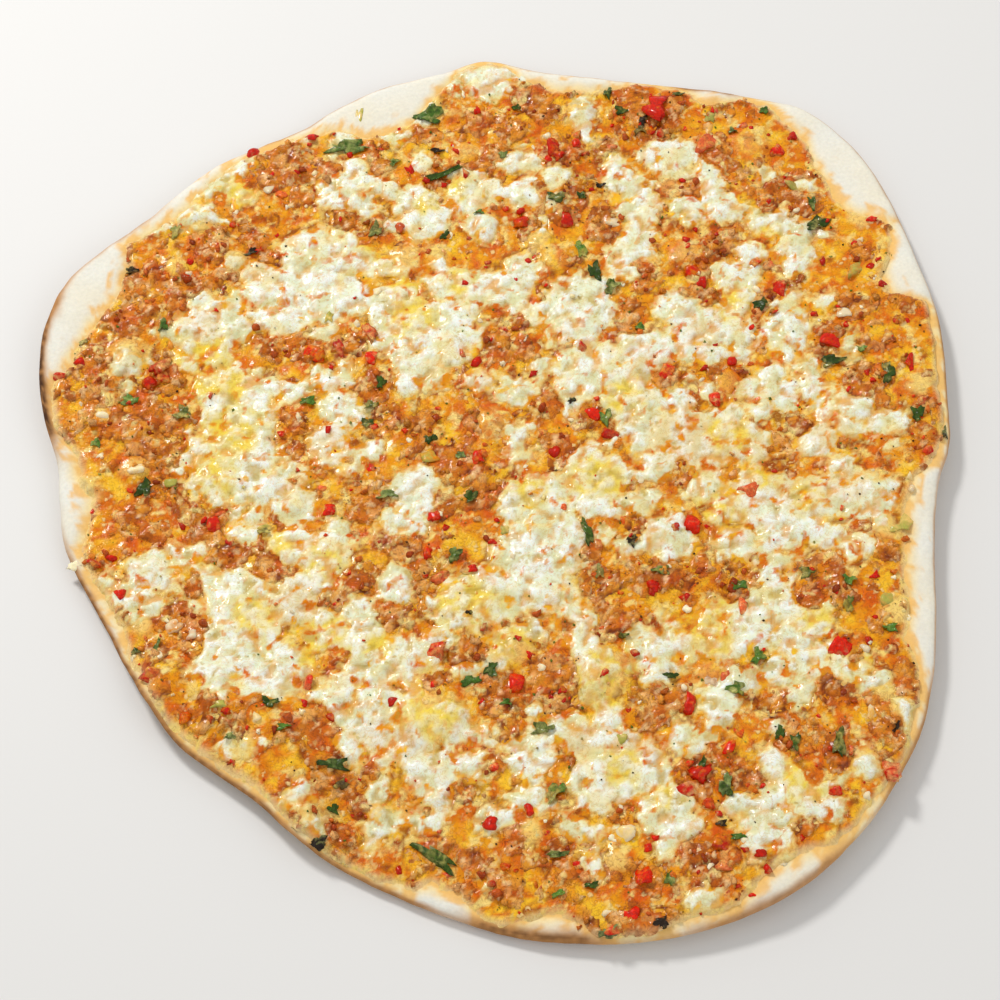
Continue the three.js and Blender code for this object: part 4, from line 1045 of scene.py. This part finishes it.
# Pieces lying under the cheese, pale pink through it.
PINK_PIECES = [
    (71, 113, 7, 5, 30, 2.2), (-51, -10, 3, 3, 0, 1.6), (76, -14, 6, 4, 10, 2), (71, -52, 6, 2.4, 80, 1.6),
    (64, -74, 5, 4, 20, 2), (-28, 84, 4, 4, 0, 1.8), (88, 66, 4, 3, 20, 1.6), (40, 112, 4, 3, 40, 1.6),
    (20, -18, 3, 2, 0, 1.4), (-66, 96, 4, 3, 10, 1.6), (30, -30, 3, 3, 0, 1.4), (60, -130, 4, 3, 0, 1.4),
]
# Green pepper and chilli slices.
GREEN_PIECES = [
    (-42, 126, 12, 2.6, 82, 2), (73, 124, 5, 4, 80, 1.8), (115, 63, 6, 5, 20, 2), (98, 95, 4, 3, 0, 1.6),
    (-19, 0, 6.5, 3.6, 10, 1.8), (34, -92, 4, 3, 0, 1.8), (-78, -81, 4, 2, 0, 1.4),
    (-68, -23, 4, 3, 30, 1.6), (3, -25, 3, 3, 0, 1.6), (-50, 50, 3, 3, 0, 1.5), (112, -52, 4, 3, 40, 1.5),
    (119, -27, 7, 5, 70, 1.2), (-96, -8, 4, 3, 0, 1.5),
]
# Larger pieces of soft onion.
ONION_PIECES = [
    (-122, -33, 5, 4, 0, 2), (-107, -3, 6, 4, 10, 2), (-93, -55, 5, 4, 0, 2), (-88, -58, 4, 3, 0, 1.8),
    (40, 84, 5, 4, 0, 2), (-118, 15, 5, 4, 0, 2), (33, -120, 6, 5, 30, 2.2), (110, 46, 5, 4, 0, 2),
    (-70, 98, 4, 3, 50, 1.6), (60, -75, 5, 4, 0, 2), (104, -88, 5, 3, 80, 1.8),
]
RED_CRUMBS = 220
ONION_CRUMBS = 90


def listed(pieces):
    table = np.array(pieces, float)
    half = table[:, [2, 3, 5]] / 2
    return table[:, 0], table[:, 1], 0.9 * half, np.radians(table[:, 4])


def surroundings(x, y):
    """The sauce or cheese colour that the bits at each place are smeared with."""
    sauce = sauce_colour(x, y)
    return sauce + np.clip(cheese_share(x, y), 0, 1)[:, None] * (pigment(CHEESE_VEIL) - sauce)


def chopped(name, draw, groups, material, nodes_replaced=None):
    """One piece of many bits, smeared with sauce or cheese. Each group is [x, y, half sizes, turns,
    sink, colour, cuts, squareness, bend]."""
    all_points, all_faces, all_tints, all_smears, first = [], [], [], [], 0
    for x, y, half, turn, sink, rgb, cuts, squareness, bend in groups:
        points, faces, piece_of = blobs(draw, x, y, half, turn, sink, cuts, squareness, 0.22, bend)
        all_smears.append(paint(surroundings(x, y), draw.uniform(0.15, 0.5, len(x)))[piece_of])
        all_points.append(points)
        all_faces += [[corner + first for corner in face] for face in faces]
        all_tints.append((pigment(rgb) * draw.uniform(0.78, 1.22, (len(x), 1)))[piece_of])
        first += len(points)
    paints = [paint(np.concatenate(all_tints), 0.5), np.concatenate(all_smears)]
    piece = new_piece(name, np.concatenate(all_points), all_faces, paints, material)
    if nodes_replaced:
        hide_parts(*[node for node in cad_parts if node.startswith(nodes_replaced)])


def crumb_group(draw, count, likelihood, sizes, sink, rgb, cuts, squareness):
    x, y = scattered(draw, 12 * count, likelihood, count)
    half = draw.uniform(*sizes, (len(x), 1)) * draw.uniform(0.7, 1.3, (len(x), 3))
    return (x, y, half, draw.uniform(0, 6.3, len(x)), sink, rgb, cuts, squareness, 0.0)


def open_sauce(x, y):
    return sauce_cover(x, y) * (1 - 0.9 * ease(cheese_depth(x, y), -0.5, 1.0))


pepper_draw = np.random.default_rng(83)
chopped(
    "red_pepper_dice",
    pepper_draw,
    [
        (*listed(RED_PIECES), -0.05, PEPPER_RED, 4, 4.2, 0.6),
        (*listed(PINK_PIECES), -0.4, PEPPER_PINK, 4, 3.2, 0.4),
        crumb_group(pepper_draw, RED_CRUMBS, open_sauce, (0.4, 1.25), -0.4, PEPPER_RED, 2, 4.0),
    ],
    food_material(
        "wet_red_pepper",
        roughness=(0.15, 0.35), scatter=0.15, grain=1.5, grain_height=0.16, mottling=0.24,
        crease_shade=PEPPER_CREASE_SHADE,
    ),
    "red_pepper",
)
chopped(
    "green_pepper_slices",
    pepper_draw,
    [(*listed(GREEN_PIECES), -0.45, GREEN_FLESH, 4, 7.0, 0.3)],
    food_material(
        "wet_green_pepper",
        roughness=(0.15, 0.35), scatter=0.2, grain=1.5, grain_height=0.1, mottling=0.14,
    ),
    "green_pepper",
)
chopped(
    "chopped_onion",
    pepper_draw,
    [
        (*listed(ONION_PIECES), -0.7, ONION_WHITE, 4, 3.4, 0.4),
        crumb_group(pepper_draw, ONION_CRUMBS, open_sauce, (0.5, 1.2), -0.5, ONION_WHITE, 3, 2.8),
    ],
    food_material(
        "soft_onion",
        roughness=(0.15, 0.35), scatter=0.4, grain=1.5, grain_height=0.08, mottling=0.08,
    ),
    "onion",
)

# ------------------------------------------------------------------------------------------
# The parsley. Flat-leaf parsley chopped with the meat and wilted in the oven: dark crumpled
# scraps, some burnt black, and fine specks of leaf, pepper and char all over.
# ------------------------------------------------------------------------------------------
LEAF_GREEN = (56, 82, 14)
LEAF_BRIGHT = (84, 124, 38)
LEAF_SHINE = (156, 172, 98)
# Burnt black, also the painted shade in the leaves' crease lines.
LEAF_BLACK = (44, 30, 16)
LEAF_RINGS = 4
LEAF_SPOKES = 22
LEAF_HALF_THICK = 0.18
LEAF_INSET = 0.8  # leaves end this far inside the rim

# Scraps of leaf: [x, y, length, width, direction in degrees].
LEAVES = [
    (-45, 114, 13, 5, 5), (-19, 126, 10, 7, 10), (-14, 103, 13, 2.4, 25), (22, 93, 6, 4, 0),
    (30, 94, 3, 3, 0), (-36, 82, 5, 4, 60), (33, 65, 7, 4.5, 100), (29, 73, 7, 3.6, 105),
    (38, 59, 6, 4, 60), (104, 80, 8, 5, 20), (103, 88, 5, 3, 90), (91, 126, 3, 3, 0), (63, 133, 4, 2, 0),
    (-99, 81, 5, 3, 80), (-110, 20, 5, 4, 0), (-94, 16, 6, 5, 70), (-119, 5, 3, 3, 0), (-101, 46, 4, 3, 90),
    (-104, -10, 6, 5, 70), (-56, 20, 5, 3, 0), (-37, 18, 4, 3, 0), (-34, 26, 4, 3, 80), (-38, 12, 4, 3, 10),
    (-7, -14, 4, 4, 0), (-19, 6, 4, 3, 30), (-10, 0, 3, 3, 0), (27, -27, 9, 3, 105), (34, 12, 5, 4, 80),
    (30, -40, 4, 3, 80), (-32, -13, 6, 3, 10), (-12, -33, 5, 4, 80), (48, -40, 5, 3, 0), (46, 44, 3, 3, 0),
    (84, 51, 5, 4, 40), (104, 29, 7, 4, 0), (120, 23, 8, 4, 85), (113, 32, 3, 2, 0), (127, 8, 5, 4, 80),
    (70, -45, 5, 4, 0), (90, -42, 4, 4, 0), (102, -45, 4, 3, 0), (101, -53, 5, 3, 80), (112, -61, 4, 3, 0),
    (-46, -98, 8, 4, 0), (-46, -111, 3, 3, 0), (-18, -125, 13, 4.4, -34), (15, -107, 7, 4, 40),
    (15, -125, 6, 2, 0), (24, -134, 4, 2, 0), (15, -136, 4, 2, 20), (45, -133, 4, 3, 90), (2, -80, 3, 2, 0),
    (-2, -70, 5, 4, 80), (-8, -73, 6, 3, 10), (12, -88, 6, 4, 0), (49, -73, 4, 2, 0), (94, -96, 9, 3.6, 85),
    (82, -95, 5, 3, 80), (78, -92, 4, 3, 80), (62, -107, 7, 4, 80), (74, -68, 5, 4, 60), (67, -78, 5, 4, 0),
    (64, -122, 4, 2, 0), (-64, -80, 5, 3, 0), (-97, -62, 6, 2, 80), (-103, -63, 3, 2, 0),
    (-75, -90, 3, 2, 0), (40, 134, 5, 3, 80), (44, 126, 4, 3, 0), (-3, 88, 3, 2, 0), (-68, -24, 4, 2, 0),
    (-125, 40, 3, 2, 0), (5, 110, 3, 2, 0), (56, -100, 4, 2, 60), (-30, 108, 4, 2, 40), (10, 128, 3, 2, 10),
    (80, 118, 3, 2, 0), (-60, -88, 4, 2, 20), (36, -60, 3, 2, 0), (-14, 80, 4, 2, 50),
]
# Scraps burnt black.
BURNT = [
    (-50, -121, 5, 4, 20), (28, -147, 5, 3, 10), (42, -145, 4, 3, 0), (135, 2, 4, 2, 80), (36, 98, 3, 2, 0),
    (-8, -52, 2, 1.5, 0), (24, 18, 3, 2, 50), (40, -30, 4, 3, 60), (-75, 74, 4, 2, 30), (-112, 66, 4, 3, 0),
    (110, -92, 4, 1.4, 60), (51, 122, 4, 3, 70), (-16, 112, 4, 2, 0), (60, -118, 3, 2, 0),
    (-44, -104, 4, 3, 30), (50, 118, 4, 3, 0),
]
SPECKS = [  # [count, half size range, colour]
    (360, (0.12, 0.36), (60, 34, 18)), (300, (0.16, 0.45), (92, 108, 30)), (200, (0.2, 0.5), (206, 60, 18)),
]

leaf_draw = np.random.default_rng(97)


def ring(r, k):
    """The number of a leaf's point k on ring r, after the one in the middle."""
    return 1 + (r - 1) * LEAF_SPOKES + k % LEAF_SPOKES


def leaf_scraps(name, scraps, rgb, brighter, material):
    """Crumpled leaf scraps: two wavy faces a leaf's thickness apart, joined round the edge."""
    turn = 2 * np.pi * np.arange(LEAF_SPOKES) / LEAF_SPOKES
    points, faces, tints, sheens_and_smears = [], [], [], []
    for x, y, length, width, direction in scraps:
        phase = leaf_draw.random(6) * 2 * np.pi
        length, width = 0.9 * length, 0.82 * width
        lobes = 1 + 0.26 * np.sin(3 * turn + phase[0]) + 0.2 * np.sin(5 * turn + phase[1])
        lobes = lobes + 0.12 * np.sin(9 * turn + phase[2])
        share = np.concatenate([[0], np.repeat(np.arange(1, LEAF_RINGS + 1) / LEAF_RINGS, LEAF_SPOKES)])
        around = np.concatenate([[0], np.tile(turn, LEAF_RINGS)])
        reach_out = np.concatenate([[0], np.tile(lobes, LEAF_RINGS)]) * share
        u, v = (
            half * reach_out * np.sign(wave) * np.abs(wave) ** 0.75
            for half, wave in ((length / 2, np.cos(around)), (width / 2, np.sin(around)))
        )
        heading = np.radians(direction)
        px = x + np.cos(heading) * u - np.sin(heading) * v
        py = y + np.sin(heading) * u + np.cos(heading) * v
        keep_in = np.minimum(1, (rim_reach(px, py) - LEAF_INSET) / np.hypot(px, py))
        px, py = px * keep_in, py * keep_in
        crumple = 0.45 * np.sin(1.5 * u + phase[3]) * np.cos(1.3 * v + phase[4])
        crumple = crumple + 0.3 * np.sin(2.6 * v + phase[5])
        lift = 0.55 + crumple * share * min(1.0, width / 4) + 0.5 * share**2 * np.sin(2 * around + phase[5])
        middle = carried_at(px, py) + np.maximum(lift, 0.12)
        for side in (1, -1):
            points.append(np.column_stack([px, py, under_roof(middle + side * LEAF_HALF_THICK)]))
        first = len(tints) * 2 * len(px)
        below = first + len(px)
        for k in range(LEAF_SPOKES):
            faces += [[first, first + ring(1, k), first + ring(1, k + 1)]]
            faces += [[below, below + ring(1, k + 1), below + ring(1, k)]]
            for r in range(1, LEAF_RINGS):
                quad = [ring(r, k), ring(r + 1, k), ring(r + 1, k + 1), ring(r, k + 1)]
                faces += [[first + q for q in quad], [below + q for q in quad[::-1]]]
            edge, edge_next = ring(LEAF_RINGS, k), ring(LEAF_RINGS, k + 1)
            faces += [[first + edge, below + edge, below + edge_next, first + edge_next]]
        shade = leaf_draw.uniform(0.7, 1.25) * np.where(share > 0.8, 0.8, 1.0)[:, None]
        base_tint = pigment(brighter if leaf_draw.random() < 0.35 else rgb)
        tints.append(np.tile(base_tint * shade, (2, 1)))
        # Second paint: a painted sheen in LEAF_SHINE, mixed with the sauce or cheese that some scraps lie
        # under.
        lying_under = 0.6 * leaf_draw.random()
        sheen_and_smear = (1 - lying_under) * pigment(LEAF_SHINE) + lying_under * surroundings(px, py)
        sheens_and_smears.append(np.tile(paint(sheen_and_smear, leaf_draw.uniform(0.2, 0.55)), (2, 1)))
    paints = [paint(np.concatenate(tints), 0.5), np.concatenate(sheens_and_smears)]
    piece = new_piece(name, np.concatenate(points), faces, paints, material)
    return piece


leaf_finish = food_material(
    "wilted_leaf",
    roughness=(0.25, 0.5), scatter=0.05, grain=1.0, grain_height=0.2, mottling=0.25, crease_shade=LEAF_BLACK,
)
parsley = leaf_scraps("parsley_scraps", LEAVES, LEAF_GREEN, LEAF_BRIGHT, leaf_finish)
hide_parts(*[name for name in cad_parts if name.startswith("parsley")])
leaf_scraps("burnt_scraps", BURNT, LEAF_BLACK, LEAF_BLACK, leaf_finish)

speck_draw = np.random.default_rng(103)
chopped(
    "herb_and_pepper_specks",
    speck_draw,
    [
        crumb_group(speck_draw, count, lambda x, y: 0.35 + 0.65 * open_sauce(x, y), sizes, 0.1, rgb, 1, 3.0)
        for count, sizes, rgb in SPECKS
    ],
    food_material(
        "dry_specks",
        roughness=(0.5, 0.7), scatter=0.0, grain=1.0, grain_height=0.05, mottling=0.2, wet=0.0,
    ),
)

# ------------------------------------------------------------------------------------------
# The floor, the light and the camera. A pale table top, soft light from a window at the back
# left, a weak light from the front right, and a camera that looks down from the front.
# ------------------------------------------------------------------------------------------
floor_mesh = bpy.data.meshes.new("table_top")
floor_mesh.from_pydata([(-3, -3, 0), (3, -3, 0), (3, 3, 0), (-3, 3, 0)], [], [(0, 1, 2, 3)])
floor = bpy.data.objects.new("table_top", floor_mesh)
bpy.context.scene.collection.objects.link(floor)
floor_paint = bpy.data.materials.new("pale_table")
floor_paint.use_nodes = True
floor_paint.node_tree.nodes["Principled BSDF"].inputs["Base Color"].default_value = (0.78, 0.77, 0.75, 1)
floor_paint.node_tree.nodes["Principled BSDF"].inputs["Roughness"].default_value = 0.6
floor_mesh.materials.append(floor_paint)

world = bpy.data.worlds.new("studio")
world.use_nodes = True
world.node_tree.nodes["Background"].inputs["Color"].default_value = (1.0, 1.0, 1.0, 1)
world.node_tree.nodes["Background"].inputs["Strength"].default_value = 0.58
bpy.context.scene.world = world


def add_light(name, place, size, power, colour):
    lamp = bpy.data.lights.new(name, "AREA")
    lamp.shape = "DISK"
    lamp.size = size
    lamp.energy = power
    lamp.color = colour
    holder = bpy.data.objects.new(name, lamp)
    holder.location = place
    holder.rotation_euler = (-Vector(place)).to_track_quat("-Z", "Y").to_euler()
    bpy.context.scene.collection.objects.link(holder)


add_light("window", (-0.55, 0.75, 1.0), 0.25, 10.2, (1.0, 0.99, 0.97))
add_light("fill", (0.9, -0.7, 0.9), 0.9, 2.7, (1.0, 0.99, 0.97))

ELEVATION = np.radians(62.38)  # how steeply the camera looks down
ROLL = np.radians(-1.3)
DISTANCE = 624.8
TARGET = (1.58, -14.29, 3.0)  # the place on the bread that the camera looks at
FOCAL = 75.6
sight = np.array([0, np.cos(ELEVATION), -np.sin(ELEVATION)])
level = np.array([1.0, 0, 0])
upright = np.cross(level, sight)
right = np.cos(ROLL) * level + np.sin(ROLL) * upright
up = -np.sin(ROLL) * level + np.cos(ROLL) * upright
stand = (np.array(TARGET) - DISTANCE * sight) * MM
camera_data = bpy.data.cameras.new("camera")
camera_data.lens = FOCAL
camera_data.sensor_width = 36
camera = bpy.data.objects.new("camera", camera_data)
camera.matrix_world = Matrix((
    (right[0], up[0], -sight[0], stand[0]),
    (right[1], up[1], -sight[1], stand[1]),
    (right[2], up[2], -sight[2], stand[2]),
    (0, 0, 0, 1),
))
bpy.context.scene.collection.objects.link(camera)
bpy.context.scene.camera = camera
bpy.context.scene.view_settings.view_transform = "Standard"
